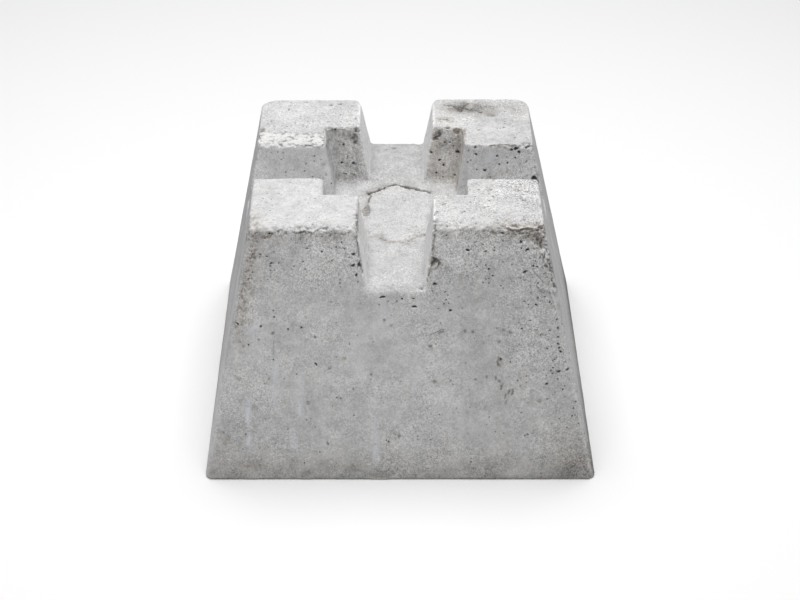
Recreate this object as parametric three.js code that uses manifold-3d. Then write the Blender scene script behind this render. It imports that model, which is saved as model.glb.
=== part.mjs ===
// Concrete pier block: one cast frustum that carries a post or crossing joists.
// Millimetres, +Z up, origin on the ground at the middle of the square base.
import * as THREE from 'three';
import { mergeVertices } from 'three/addons/utils/BufferGeometryUtils.js';
import Module from 'manifold-3d';

const wasm = await Module();
wasm.setup();

// ---- body -------------------------------------------------------------
const BASE = 280; // side of the square foot (11 in)
const TOP = 203; // side of the square top (8 in)
const HEIGHT = 184; // 7 1/4 in
const LEAN = -3.3; // the casting leans: its top sits this far along X
const R_BASE = 7.5; // rounding of the upright corners at the foot
const R_TOP = 9; // and at the top
const EDGE = 3; // rounding of the top's outer edge
const FOOT = 2; // worn arris round the foot
const CORNER_SEGMENTS = 5;

// ---- cross of tapered slots, for 38 mm joists ---------------------------
const SLOT_FLOOR = 142; // height of the slots' and the socket's floor
const SLOT_BOTTOM = 41; // width at the floor
const SLOT_TOP = 54.5; // width at the top
const SLOT_ROOT = 2; // fillet between floor and wall
const LIP = 2.5; // rounding where a slot's wall meets the top
const MOUTH = 4.5; // worn rounding of the floor where a slot leaves the side

// ---- square socket in the middle, for an 89 mm post ---------------------
const SOCKET_BOTTOM = 91; // side at the floor
const SOCKET_TOP = 103.5; // side at the top
const R_SOCKET = 3; // rounding of the socket's upright corners

// ---- chips broken from the casting: middle, half sizes and turn -----------
// The post nearest the viewer's left is front_left: front is -Y, left is -X.
const CHIPS = [
  { name: 'front_right_corner', at: [97, -104, 179], size: [7, 5, 8], turn: 0.5 },
  { name: 'front_right_edge', at: [80, -102.5, 185], size: [17, 3, 3.4], turn: 0.03 },
  { name: 'front_left_edge', at: [-70, -103.5, 184], size: [21, 2.6, 3], turn: -0.02 },
  { name: 'slot_mouth_gouge', at: [22, -108, 160], size: [5.5, 4.5, 4.2], turn: -0.4 },
  { name: 'back_left_front_edge', at: [-78, 25.5, 185.5], size: [25, 5, 4], turn: 0.02 },
  { name: 'back_left_corner', at: [-104, 50, 184], size: [4, 5, 4.5], turn: 0.3 },
  { name: 'back_left_socket_corner', at: [-31, 51, 180], size: [6, 4, 7], turn: 0.2 },
  { name: 'back_right_socket_corner', at: [25, 51, 179], size: [6, 4, 5], turn: 0.1 },
  { name: 'back_right_front_edge', at: [90, 26, 184], size: [11, 3.6, 4], turn: -0.03 },
  { name: 'back_right_slot_end', at: [103.5, 22, 154], size: [3.6, 3.4, 4.4], turn: 0 },
];
const CHIP_ROUGHNESS = 0.16; // how far a chip's facets wander from an ellipsoid

// ---- helpers -------------------------------------------------------------
const lerp = (a, b, t) => a + (b - a) * t;

function solidOf(geometry) {
  const g = geometry.index ? geometry.toNonIndexed() : geometry.clone();
  for (const name of Object.keys(g.attributes)) if (name !== 'position') g.deleteAttribute(name);
  const merged = mergeVertices(g, 1e-4);
  return new wasm.Manifold(
    new wasm.Mesh({
      numProp: 3,
      vertProperties: new Float32Array(merged.attributes.position.array),
      triVerts: new Uint32Array(merged.index.array),
    }),
  );
}

function geometryOf(solid) {
  const mesh = solid.getMesh();
  const g = new THREE.BufferGeometry();
  g.setAttribute('position', new THREE.BufferAttribute(new Float32Array(mesh.vertProperties), 3));
  g.setIndex(new THREE.BufferAttribute(new Uint32Array(mesh.triVerts), 1));
  g.computeVertexNormals();
  return g;
}

// A rounded square's outline: each point has its corner's signs and its direction from the
// middle of that corner's arc, so that each level can size the square and the arcs apart.
function squareRing(segments) {
  const ring = [];
  for (let q = 0; q < 4; q++) {
    const sx = q === 0 || q === 3 ? 1 : -1;
    const sy = q < 2 ? 1 : -1;
    for (let i = 0; i <= segments; i++) {
      const a = (q + i / segments) * (Math.PI / 2);
      ring.push({ sx, sy, cx: Math.cos(a), cy: Math.sin(a) });
    }
  }
  return ring;
}

// Extrudes the ring as a shape, then gives each level its own half side, radius, height and shift.
function taperedSquare(levels, segments = CORNER_SEGMENTS) {
  const ring = squareRing(segments);
  const unit = ring.map((p) => new THREE.Vector2(p.sx * 2 + p.cx, p.sy * 2 + p.cy));
  const g = new THREE.ExtrudeGeometry(new THREE.Shape(unit), {
    depth: levels.length - 1,
    steps: levels.length - 1,
    bevelEnabled: false,
  });
  const pos = g.attributes.position;
  for (let i = 0; i < pos.count; i++) {
    const level = levels[Math.round(pos.getZ(i))];
    const x = pos.getX(i);
    const y = pos.getY(i);
    const sx = Math.sign(x);
    const sy = Math.sign(y);
    const inner = level.half - level.radius;
    pos.setXYZ(
      i,
      sx * inner + (x - sx * 2) * level.radius + level.shift,
      sy * inner + (y - sy * 2) * level.radius,
      level.z,
    );
  }
  return g;
}

const leanAt = (z) => (LEAN * z) / HEIGHT;
const sideAt = (z) => lerp(BASE, TOP, z / HEIGHT) / 2;
const radiusAt = (z) => lerp(R_BASE, R_TOP, z / HEIGHT);

// ---- the frustum, with its worn foot and rounded top edge -------------------
const bodyLevels = [];
for (const t of [0, 0.5, 1]) {
  const z = FOOT * t;
  const inset = FOOT * 0.5 * (1 - Math.sqrt(1 - (1 - t) * (1 - t)));
  bodyLevels.push({ z, half: sideAt(z) - inset, radius: radiusAt(z), shift: leanAt(z) });
}
for (const t of [0.25, 0.5, 0.75]) {
  const z = lerp(FOOT, HEIGHT - EDGE, t);
  bodyLevels.push({ z, half: sideAt(z), radius: radiusAt(z), shift: leanAt(z) });
}
for (let i = 0; i <= 4; i++) {
  const a = (i / 4) * (Math.PI / 2);
  const z = HEIGHT - EDGE + EDGE * Math.sin(a);
  bodyLevels.push({
    z,
    half: sideAt(HEIGHT - EDGE) - EDGE * (1 - Math.cos(a)) - (EDGE * Math.sin(a) * (BASE - TOP)) / (2 * HEIGHT) / 2,
    radius: radiusAt(z),
    shift: leanAt(z),
  });
}
let block = solidOf(taperedSquare(bodyLevels));

// ---- slots ------------------------------------------------------------------
// A slot's section, from its floor's fillets up its tapered walls to its rounded lips.
function slotSection() {
  const half = SLOT_BOTTOM / 2;
  const rise = HEIGHT - SLOT_FLOOR;
  const slope = (SLOT_TOP - SLOT_BOTTOM) / 2 / rise;
  const right = [];
  for (let i = 0; i <= 3; i++) {
    const a = (i / 3) * (Math.PI / 2);
    const up = SLOT_ROOT * (1 - Math.cos(a));
    right.push([half - SLOT_ROOT + SLOT_ROOT * Math.sin(a) + slope * up, SLOT_FLOOR + up]);
  }
  for (let i = 0; i <= 3; i++) {
    const a = (i / 3) * (Math.PI / 2);
    const up = HEIGHT - LIP + LIP * Math.sin(a);
    right.push([half + slope * (up - SLOT_FLOOR) + LIP * (1 - Math.cos(a)), up]);
  }
  const last = right[right.length - 1];
  right.push([last[0], HEIGHT + 20]);
  const left = right.map(([x, z]) => [-x, z]).reverse();
  return new THREE.Shape([...right, ...left].map(([x, z]) => new THREE.Vector2(x, z)));
}

// Steps along a slot, closer together where its mouth rounds over.
const faceAtFloor = sideAt(SLOT_FLOOR);
const mouthSteps = [];
for (const side of [-1, 1]) {
  for (const t of [0, 0.25, 0.5, 0.75, 1, 4]) mouthSteps.push(side * (faceAtFloor - MOUTH + MOUTH * t));
}
mouthSteps.sort((a, b) => a - b);

function slotCutter() {
  const g = new THREE.ExtrudeGeometry(slotSection(), {
    depth: mouthSteps.length - 1,
    steps: mouthSteps.length - 1,
    bevelEnabled: false,
  });
  const pos = g.attributes.position;
  for (let i = 0; i < pos.count; i++) {
    const along = mouthSteps[Math.round(pos.getZ(i))];
    const across = pos.getX(i);
    let up = pos.getY(i);
    const over = Math.max(0, Math.abs(along) - (faceAtFloor - MOUTH));
    // the floor rolls down at the mouth
    const drop = over <= MOUTH ? MOUTH * 0.8 * (1 - Math.sqrt(1 - (over / MOUTH) ** 2)) : MOUTH * 0.8;
    const share = Math.max(0, 1 - (up - SLOT_FLOOR) / (SLOT_ROOT * 2));
    up -= drop * share;
    pos.setXYZ(i, across, -along, up);
  }
  return g;
}

const slotAlongY = slotCutter();
slotAlongY.translate(leanAt(SLOT_FLOOR), 0, 0);
const slotAlongX = slotCutter();
slotAlongX.rotateZ(Math.PI / 2);
slotAlongX.translate(leanAt(SLOT_FLOOR), 0, 0);
block = block.subtract(solidOf(slotAlongY));
block = block.subtract(solidOf(slotAlongX));

// ---- socket -----------------------------------------------------------------
const socketLevels = [];
for (let i = 0; i <= 3; i++) {
  const a = (i / 3) * (Math.PI / 2);
  const up = SLOT_ROOT * (1 - Math.cos(a));
  socketLevels.push({
    z: SLOT_FLOOR + up,
    half: SOCKET_BOTTOM / 2 - SLOT_ROOT + SLOT_ROOT * Math.sin(a),
    radius: R_SOCKET,
    shift: leanAt(SLOT_FLOOR),
  });
}
for (let i = 0; i <= 3; i++) {
  const a = (i / 3) * (Math.PI / 2);
  const z = HEIGHT - LIP + LIP * Math.sin(a);
  socketLevels.push({
    z,
    half: lerp(SOCKET_BOTTOM, SOCKET_TOP, (z - SLOT_FLOOR) / (HEIGHT - SLOT_FLOOR)) / 2 + LIP * (1 - Math.cos(a)),
    radius: R_SOCKET,
    shift: leanAt(z),
  });
}
const rim = socketLevels[socketLevels.length - 1];
socketLevels.push({ ...rim, z: HEIGHT + 20 });
block = block.subtract(solidOf(taperedSquare(socketLevels)));

// ---- chips -------------------------------------------------------------------
// A lump with uneven facets, whose wander depends only on where its corner points.
function chipCutter({ at, size, turn }, seed) {
  const g = mergeVertices(
    (() => {
      const ball = new THREE.IcosahedronGeometry(1, 2);
      ball.deleteAttribute('normal');
      ball.deleteAttribute('uv');
      return ball;
    })(),
    1e-4,
  );
  const pos = g.attributes.position;
  for (let i = 0; i < pos.count; i++) {
    const [x, y, z] = [pos.getX(i), pos.getY(i), pos.getZ(i)];
    const wander =
      Math.sin(5.1 * x + 2.3 * seed) * Math.cos(4.3 * y - 1.7 * seed) + 0.6 * Math.sin(7.7 * z + 3.1 * x + seed);
    const r = 1 + CHIP_ROUGHNESS * wander;
    pos.setXYZ(i, x * r * size[0], y * r * size[1], z * r * size[2]);
  }
  g.rotateZ(turn);
  g.translate(...at);
  return g;
}
CHIPS.forEach((chip, i) => {
  block = block.subtract(solidOf(chipCutter(chip, i + 1)));
});

// ---- the part ------------------------------------------------------------------
const concrete = new THREE.MeshStandardMaterial({ color: 0xa9a8a5, roughness: 0.92, metalness: 0 });
const pierBlock = new THREE.Mesh(geometryOf(block), concrete);
pierBlock.name = 'pier_block';

const group = new THREE.Group();
group.add(pierBlock);

export default group;
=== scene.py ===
import math

import bpy
import numpy as np
from mathutils import Matrix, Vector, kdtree


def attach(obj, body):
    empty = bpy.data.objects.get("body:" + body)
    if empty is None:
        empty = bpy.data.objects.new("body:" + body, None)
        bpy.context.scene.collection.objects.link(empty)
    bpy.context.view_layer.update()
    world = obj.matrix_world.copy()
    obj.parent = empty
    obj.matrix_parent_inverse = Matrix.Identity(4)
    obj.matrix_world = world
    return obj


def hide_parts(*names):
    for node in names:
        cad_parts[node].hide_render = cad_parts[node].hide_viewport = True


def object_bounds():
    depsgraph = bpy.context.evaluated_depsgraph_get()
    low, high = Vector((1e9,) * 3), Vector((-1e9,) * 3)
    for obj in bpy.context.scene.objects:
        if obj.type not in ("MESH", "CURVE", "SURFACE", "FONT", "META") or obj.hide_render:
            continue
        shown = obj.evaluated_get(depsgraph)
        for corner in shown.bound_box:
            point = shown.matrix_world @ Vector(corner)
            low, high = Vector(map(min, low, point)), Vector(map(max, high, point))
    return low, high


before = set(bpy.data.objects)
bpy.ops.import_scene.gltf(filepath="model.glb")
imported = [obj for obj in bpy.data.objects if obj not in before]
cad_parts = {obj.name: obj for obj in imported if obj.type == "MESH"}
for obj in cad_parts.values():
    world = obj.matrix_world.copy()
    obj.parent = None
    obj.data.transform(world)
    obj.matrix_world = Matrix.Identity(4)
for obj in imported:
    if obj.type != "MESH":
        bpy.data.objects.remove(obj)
CAD_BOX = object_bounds()

# ---------------------------------------------------------------------------
# Sizes, in millimetres. The block is one casting: a square frustum with a cross
# of tapered slots round a square socket. Front is -Y, left is -X.
# ---------------------------------------------------------------------------
FOOT_HALF, TOP_HALF, HEIGHT = 139.75, 101.6, 183.95
FRUSTUM_HEIGHT = 184.0
LEAN = -3.3
FLOOR_Z = 142.0
SLOPE = (TOP_HALF - FOOT_HALF) / FRUSTUM_HEIGHT
SIDE_COS = 1 / math.hypot(1, SLOPE)

rng = np.random.default_rng(57)


# ---------------------------------------------------------------------------
# Noise on arrays of points
# ---------------------------------------------------------------------------
def hashed(ix, iy, iz, seed):
    h = (
        ix.astype(np.uint32) * np.uint32(374761393)
        + iy.astype(np.uint32) * np.uint32(668265263)
        + iz.astype(np.uint32) * np.uint32(2246822519)
        + np.uint32((seed * 3266489917) & 0xFFFFFFFF)
    )
    h = (h ^ (h >> np.uint32(13))) * np.uint32(1274126177)
    h = (h ^ (h >> np.uint32(16))) * np.uint32(2654435761)
    return h ^ (h >> np.uint32(15))


GRADS = np.array(
    [
        (1, 1, 0), (-1, 1, 0), (1, -1, 0), (-1, -1, 0),
        (1, 0, 1), (-1, 0, 1), (1, 0, -1), (-1, 0, -1),
        (0, 1, 1), (0, -1, 1), (0, 1, -1), (0, -1, -1),
        (1, 1, 0), (-1, 1, 0), (0, -1, 1), (0, -1, -1),
    ],
    np.float64,
)


def noise(p, size, seed=0):
    """Gradient noise, about -1 to 1, with features of this size."""
    q = p / size + 1000.37 + 17.31 * seed
    base = np.floor(q).astype(np.int64)
    f = q - base
    u = f * f * f * (f * (f * 6 - 15) + 10)
    total = np.zeros(len(p))
    for dx in (0, 1):
        wx = u[:, 0] if dx else 1 - u[:, 0]
        for dy in (0, 1):
            wy = u[:, 1] if dy else 1 - u[:, 1]
            for dz in (0, 1):
                wz = u[:, 2] if dz else 1 - u[:, 2]
                g = GRADS[hashed(base[:, 0] + dx, base[:, 1] + dy, base[:, 2] + dz, seed) & np.uint32(15)]
                d = g[:, 0] * (f[:, 0] - dx) + g[:, 1] * (f[:, 1] - dy) + g[:, 2] * (f[:, 2] - dz)
                total += wx * wy * wz * d
    return total * 1.4


def fbm(p, size, octaves=4, seed=0, gain=0.5):
    total, amp, norm = np.zeros(len(p)), 1.0, 0.0
    for o in range(octaves):
        total += amp * noise(p, size / 2**o, seed + 31 * o)
        norm += amp
        amp *= gain
    return total / norm


def worley(p, size, seed=0):
    """Distance to the nearest and second nearest cell point, and the cell's random number."""
    q = p / size + 500.5
    base = np.floor(q).astype(np.int64)
    best = np.full(len(p), 9.0)
    second = np.full(len(p), 9.0)
    value = np.zeros(len(p))
    for dx in (-1, 0, 1):
        for dy in (-1, 0, 1):
            for dz in (-1, 0, 1):
                c = base + (dx, dy, dz)
                h = hashed(c[:, 0], c[:, 1], c[:, 2], seed)
                jit = np.stack(
                    [(h & np.uint32(1023)), (h >> np.uint32(10)) & np.uint32(1023), (h >> np.uint32(20)) & np.uint32(1023)], 1
                ) / 1023.0
                d = np.sqrt(((c + jit - q) ** 2).sum(1))
                closer = d < best
                second = np.where(closer, best, np.minimum(second, d))
                value = np.where(closer, ((h >> np.uint32(5)) & np.uint32(4095)) / 4095.0, value)
                best = np.where(closer, d, best)
    return best, second, value


def smooth(lo, hi, x):
    t = np.clip((x - lo) / (hi - lo), 0, 1)
    return t * t * (3 - 2 * t)


def bump(x, centre, half, soft):
    """1 within half of centre, falling to 0 over soft."""
    return 1 - smooth(half, half + soft, np.abs(x - centre))


# ---------------------------------------------------------------------------
# The smooth casting, as a distance field
# ---------------------------------------------------------------------------
def rmax(a, b, r):
    """Both insides, with a rounded edge of radius r between them."""
    return np.minimum(np.maximum(a, b), -r) + np.hypot(np.maximum(a + r, 0), np.maximum(b + r, 0))


def worn_back(x, z):
    """How far the front's top edge is worn back, most of all on the right post."""
    return smooth(160, 187, z) * (4.8 + 1.6 * smooth(-30, 30, x) - 1.2 * smooth(60, 92, np.abs(x)))


def parts_of(p):
    x, y, z = p[:, 0], p[:, 1], p[:, 2]
    xs = x - LEAN * z / FRUSTUM_HEIGHT
    half = FOOT_HALF + SLOPE * z
    # the back's top edge stands a little further out on the right
    out = smooth(100, 184, z) * smooth(0, 60, y) * (0.7 + 1.8 * smooth(-40, 60, x))
    out -= worn_back(x, z) * smooth(0, -60, y)
    px, py = (np.abs(xs) - half) * SIDE_COS, (np.abs(y) - half - out) * SIDE_COS
    # the corner between the two sides: rounder at the top, roundest at the back
    back = smooth(-40, 60, y)
    rc = 6.0 + 2.2 * z / HEIGHT + 3.0 * back * smooth(120, 184, z)
    side = np.minimum(np.maximum(px, py), -rc) + np.hypot(np.maximum(px + rc, 0), np.maximum(py + rc, 0))
    top = z - HEIGHT
    up = (z - FLOOR_Z) / (HEIGHT - FLOOR_Z)
    # slot along Y: a little wider at the back, and its middle wanders
    mid = -2.75 + 0.0095 * y - 0.35 * up
    wy = 20.2 + (27.0 + 0.008 * y - 20.2) * up
    wallx = (np.abs(x - mid) - wy) * 0.988
    wx = 20.5 + (27.3 - 20.5) * up - 1.6 * np.clip(up, 0, 1) * (y < 0) * (0.6 + 0.4 * (x < 0))
    wally = (np.abs(y - 0.4 * up) - wx) * 0.988
    hs = 45.1 + (51.4 - 45.1) * up
    sx, sy = (np.abs(x + 2.6 + 1.2 * up) - hs) * 0.989, (np.abs(y - 0.3 - 1.1 * up) - hs - 1.3 * np.clip(up, 0, 1) * (y > 0)) * 0.989
    sock = rmax(sx, sy, 2.6)
    floor = FLOOR_Z - z
    return px, py, side, top, wallx, wally, sock, floor


def field(p, parts=None):
    px, py, side, top, wallx, wally, sock, floor = parts if parts is not None else parts_of(p)
    y, x, z = p[:, 1], p[:, 0], p[:, 2]
    # each cut, with a fillet along its floor, as the outside of the cut
    root = 2.4
    cy, cx, cs = -rmax(wallx, floor, root), -rmax(wally, floor, root), -rmax(sock, floor, root)
    turn = 2.0 + 1.8 * smooth(150, 170, z)
    cuts = rmax(rmax(cy, cx, turn), cs, turn)
    # worn lips: the front slot's floor rolls over, and the crumbled posts are rounder
    mouth = smooth(8, 0, np.abs(z - FLOOR_Z)) * smooth(60, 100, np.maximum(np.abs(x), -y))
    rear_end = smooth(84, 100, y) * smooth(146, 160, z)
    lip = 1.9 + 3.4 * mouth + 3.6 * rear_end + 1.6 * smooth(76, 92, np.abs(x)) * smooth(165, 180, z) + 1.2 * smooth(40, 20, np.abs(y - 27)) * smooth(-50, -56, x)
    outer = 2.1 + (1.3 + 0.9 * smooth(-10, -30, x)) * smooth(-70, -95, y) * smooth(150, 180, z)
    body = rmax(side, top, outer)
    body = rmax(body, cuts, lip)
    return rmax(body, -z, 0.9)


def edge_distances(p, parts=None):
    """How far p is from each kind of edge."""
    px, py, side, top, wallx, wally, sock, floor = parts if parts is not None else parts_of(p)
    cut = np.maximum(np.minimum(np.minimum(wallx, wally), sock), floor)
    wall = np.minimum(np.minimum(np.abs(wallx), np.abs(wally)), np.abs(sock))
    a = np.abs
    return dict(
        outer=np.hypot(side, top),
        lip=np.hypot(cut, top),
        mouth=np.hypot(cut, side),
        corner=np.maximum(np.hypot(px, py) - 3.5, 0),
        foot=np.hypot(side, p[:, 2]),
        root=np.hypot(wall, floor),
        inner=np.minimum(np.hypot(a(wallx), a(sock)), np.hypot(a(wally), a(sock))) + np.maximum(cut - 3, 0) * 9,
    )


def gradient(p, f=field, e=0.05):
    g = np.empty_like(p)
    for i in range(3):
        d = np.zeros(3)
        d[i] = e
        g[:, i] = f(p + d) - f(p - d)
    return g / (2 * e)


def project(p, times=2):
    for _ in range(times):
        g = gradient(p)
        n = np.maximum((g * g).sum(1, keepdims=True), 1e-6)
        step = field(p)[:, None] * g / n
        length = np.linalg.norm(step, axis=1, keepdims=True)
        p = p - step * np.minimum(1, 4.0 / np.maximum(length, 1e-9))
    return p


# ---------------------------------------------------------------------------
# Marks on the casting. Air holes: face, two coordinates along it, radius,
# depth and, for a long one, its stretch and turn. front: x, z. top: x, y.
# ---------------------------------------------------------------------------
def on_front(x, z):
    return (x, float(worn_back(x, z)) - (FOOT_HALF + SLOPE * z), z)


def on_top(x, y):
    return (x, y, HEIGHT)


def on_floor(x, y):
    return (x, y, FLOOR_Z)


def on_socket_back(x, z):
    up = (z - FLOOR_Z) / (HEIGHT - FLOOR_Z)
    return (x, 0.3 + 1.1 * up + 45.1 + 7.6 * up, z)


def on_cross_back(x, z):
    up = (z - FLOOR_Z) / (HEIGHT - FLOOR_Z)
    return (x, 0.4 * up + 20.5 + 6.8 * up, z)


HOLES_FRONT = [
    (-54.4, 167.8, 0.69), (-67.3, 161.2, 0.55), (-40.9, 173.7, 0.55), (-44.7, 170.7, 0.55),
    (-38.9, 169.8, 0.55), (-32.7, 166.2, 0.82, 1.5, 0), (-35.7, 164.2, 0.41), (-28.5, 159.2, 1.3, 1.4, 90),
    (-33, 158.6, 0.83, 1.8, 35), (-30.8, 151.7, 0.76, 1.6, 80), (-29.6, 146.9, 0.48),
    (-89.2, 160.1, 0.62, 1.7, 25), (-64.6, 170, 0.55, 1.4, 0), (-78.7, 179.2, 0.48), (-90.2, 179.5, 0.62),
    (-99, 180, 0.55), (-101.9, 166.4, 0.55), (-96.6, 166.2, 0.55, 1.7, 20), (-97.2, 164.4, 0.48),
    (-92.1, 164.8, 0.48, 1.6, 160), (-106.8, 160.1, 0.55), (-102.2, 153.7, 0.55), (-104.7, 149.2, 0.48),
    (-89.7, 154.6, 0.34), (-84, 160.1, 0.41, 1.8, 50), (-73.8, 157.9, 0.41, 1.8, 130), (-41.7, 143.4, 0.41),
    (-12.8, 136, 0.69, 3, 8), (45.7, 168.8, 0.69, 1.8, 170), (82.4, 173.9, 0.89), (86.8, 169.2, 0.69, 1.6, 0),
    (60.6, 156, 0.62, 1.3, 0), (63.2, 151.3, 0.55, 1.8, 0), (85.4, 154.1, 0.76, 2, 35), (58.6, 148.9, 0.48),
    (56.7, 146.4, 0.55), (69.1, 144.1, 0.48), (33.5, 147.2, 0.48), (23.4, 145.3, 1.04), (13.8, 143, 1.66),
    (30.6, 139.7, 0.55), (32.3, 137.5, 0.48), (31.3, 134, 0.55), (29.8, 131.1, 0.48), (33, 131.5, 0.48),
    (85.9, 133, 0.48), (88.3, 130.6, 0.49), (93.5, 130.6, 0.62), (56.3, 172, 0.55), (50.7, 173.5, 0.48),
    (50.9, 178.3, 0.48), (53.6, 167.9, 0.41), (57.8, 167.9, 0.48), (64.2, 170.5, 0.48), (64.1, 168.4, 0.48),
    (54.7, 161.2, 0.41), (52.3, 157.9, 0.48), (91.1, 158.3, 0.62), (93.8, 157.6, 0.55, 1.6, 140),
    (92.4, 161.7, 0.55), (91.4, 169.5, 0.55), (82.7, 170, 0.55), (98.5, 152.7, 0.55), (94.6, 146.1, 0.55),
    (102.3, 161.2, 0.62, 1.8, 120), (104.5, 150.5, 0.55), (103.5, 147.4, 0.48),
    (103.3, 132.3, 0.55, 1.6, 150), (99.8, 136.4, 0.48), (31.2, 177.6, 0.55), (31.7, 183.9, 0.62),
    (46, 183.9, 0.55), (69.4, 178.9, 0.55), (8.5, 135, 0.55, 2, 5), (0.8, 134.7, 0.69),
    (9.3, 129.1, 0.76, 2.2, 5), (25.9, 127.6, 0.49), (34.3, 126.4, 0.76, 1.3, 0), (89.8, 119.1, 0.49),
    (93.7, 121.6, 0.35), (84.2, 113.2, 0.63), (66.9, 113.5, 0.42), (76.7, 88.8, 0.56), (110.8, 99.1, 0.84),
    (111.9, 96.3, 0.77, 1.4, 130), (109.8, 101.9, 0.63), (109.7, 107, 0.63), (109.5, 113.5, 0.63, 1.5, 90),
    (108.8, 119.8, 0.63), (110.9, 81.7, 0.7, 1.9, 25), (117.5, 83.2, 0.7, 1.9, 25),
    (106.4, 80.3, 0.49, 1.7, 0), (102.6, 72.6, 0.7, 1.5, 30), (124.1, 59, 0.78), (122, 54.4, 0.57),
    (126, 42.8, 0.57), (88.1, 78.4, 0.35), (89.7, 78.4, 0.35), (92.6, 78.9, 0.35), (27.5, 49.7, 0.49),
    (62.7, 47.6, 0.5), (51.2, 106.1, 0.35), (36.7, 72.3, 0.49), (100.1, 82.7, 0.42), (105.4, 100.5, 0.49),
    (70, 90.7, 0.63, 1.8, 100), (-113.8, 116.4, 0.69, 1.7, 160), (-116.4, 109.8, 0.63), (-88.4, 126.2, 0.48),
    (-88, 121.5, 0.62), (-78.5, 112.7, 0.63), (-69.1, 113.9, 0.69), (-89.1, 90.4, 0.56), (-73, 79.9, 0.49),
    (-59.3, 87.1, 0.63, 2.2, 125), (-121.1, 91.1, 0.56), (-44.9, 92.4, 0.42), (-97.3, 114.9, 0.63),
    (-106.2, 101.2, 0.63), (-10, 30.3, 0.57), (-8.4, 29.2, 0.71), (-68.4, 13.1, 0.57), (-47.1, 10.5, 0.43),
    (-38.2, 35, 0.43), (-119.7, 7.5, 0.43),
]
STAINS_FRONT = [
    (76.2, 110.4, 1.67), (71.3, 111.8, 1.04), (68.4, 103.7, 1.26), (68.6, 90.7, 1.12, 2.2, 95),
    (69.6, 86.4, 0.84, 1.8, 90), (52.3, 76.1, 1.33), (60.4, 78, 0.77, 2.2, 90), (69.4, 74.7, 1.55),
    (84.3, 70.9, 0.84, 2.5, 85), (76.3, 66.6, 0.99, 3.4, 75), (74.2, 59, 0.71, 3, 75), (45.5, 87.9, 0.84),
    (68.0, 88.0, 0.9, 3.4, 92), (78.6, 66.8, 0.95, 3.6, 84), (71.0, 70.5, 0.8, 3.8, 80), (66.8, 77.0, 0.75, 3.2, 95),
    (73.6, 63.0, 0.75, 3.6, 72), (82.0, 76.6, 0.5), (84.4, 76.6, 0.46), (86.8, 76.7, 0.44),
    (27.8, 110.7, 0.84, 3, 30), (61.6, 107.9, 0.84), (44.7, 111.6, 1.39), (98.5, 109.3, 1.53),
    (20.8, 100.5, 1.74), (98, 60, 1.69), (39.6, 54.3, 0.92), (23.7, 74.2, 1.55), (-97.3, 114.9, 1.25),
    (-89.3, 110.2, 1.46), (-98.8, 105.3, 0.91), (-111.9, 103.7, 0.84), (-19.1, 103.7, 0.91),
    (-6.6, 115.8, 1.18), (-11.5, 119.5, 1.04), (-20.9, 80.1, 1.19), (-103.8, 129.2, 0.97), (-92.5, 77, 1.12),
    (-95.2, 72.8, 1.05), (-65.9, 121.5, 0.83), (-49.9, 84.1, 1.12), (-113.9, 77, 2.1), (-102.8, 55.3, 2.47),
    (-109.8, 100.5, 1.39), (-39.6, 91.1, 1.54), (-65, 58.1, 1.69), (-14.7, 4.1, 3.57, 2.5, 0),
    (-5.8, 5.8, 2.14), (-66.5, 5.2, 2.28, 1.8, 0), (-51.6, 28.1, 0.71, 2.2, 100), (-0.6, 33.6, 1.42),
    (-123.3, 30.3, 4.25), (-106.1, 11.4, 5.7, 2.2, 0), (-35, 9.1, 4.28, 1.8, 0), (-103.3, 171.3, 1.23),
    (-100.7, 164, 1.24), (-108.1, 145.2, 1.24), (-94.1, 179.9, 2.05, 2.2, 0),
]
HOLES_TOP = [
    (29.2, -65.5, 0.7), (30.2, -74.7, 0.42), (44, -75.4, 0.76), (50.1, -84.9, 0.55, 1.7, 0),
    (66.7, -87.6, 0.62), (72.6, -87.6, 0.62), (62.1, -59.2, 0.63), (63.9, -43.7, 0.64, 1.5, 40),
    (61.2, -39.9, 0.5), (68.4, -46.7, 0.57), (76.5, -54.2, 0.49), (89.4, -46.7, 0.85, 1.3, 0),
    (81.7, -36, 0.57), (95.3, -32.1, 0.57), (50.5, -33.7, 0.43), (56.2, -36.8, 0.5), (92.6, -58.7, 0.49),
    (93.9, -72, 0.56), (83.1, -75, 0.42), (87, -80.8, 0.42), (75.2, -63.2, 0.35), (81.5, -64.7, 0.42),
    (-45.4, 94.3, 0.92, 1.9, 0), (-52.3, 92.3, 0.84, 1.3, 30), (-71.3, 96.8, 0.69, 1.9, 0),
    (-84.4, 84.8, 0.61, 1.6, 80), (-33.3, 69.3, 0.68), (-33.4, 82.4, 0.53), (-44.3, 64.4, 0.6),
    (-85.4, 47.6, 0.75), (-77.3, 42.4, 0.74, 1.4, 0), (-65.2, 39.7, 1.11, 1.2, 0), (-55.9, 35.4, 0.67),
    (-83.1, 97.2, 0.54, 1.5, 0), (-75.4, -43.3, 0.64), (-94.2, -49.7, 0.56), (-63.4, -55.3, 0.56),
    (-74.9, 72.5, 0.45), (-41.1, 85.7, 0.38), (69.2, 73.6, 0.83, 1.3, 0), (66.2, 90, 0.54),
    (58.9, 51.3, 0.6, 1.8, 0), (78.1, 55.8, 0.6, 1.6, 20), (68.7, 34.9, 0.44), (37, 91.6, 0.77, 2, 0),
    (47.8, 87.5, 0.92, 1.5, 150), (47.2, 91.7, 0.69),
]
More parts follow.
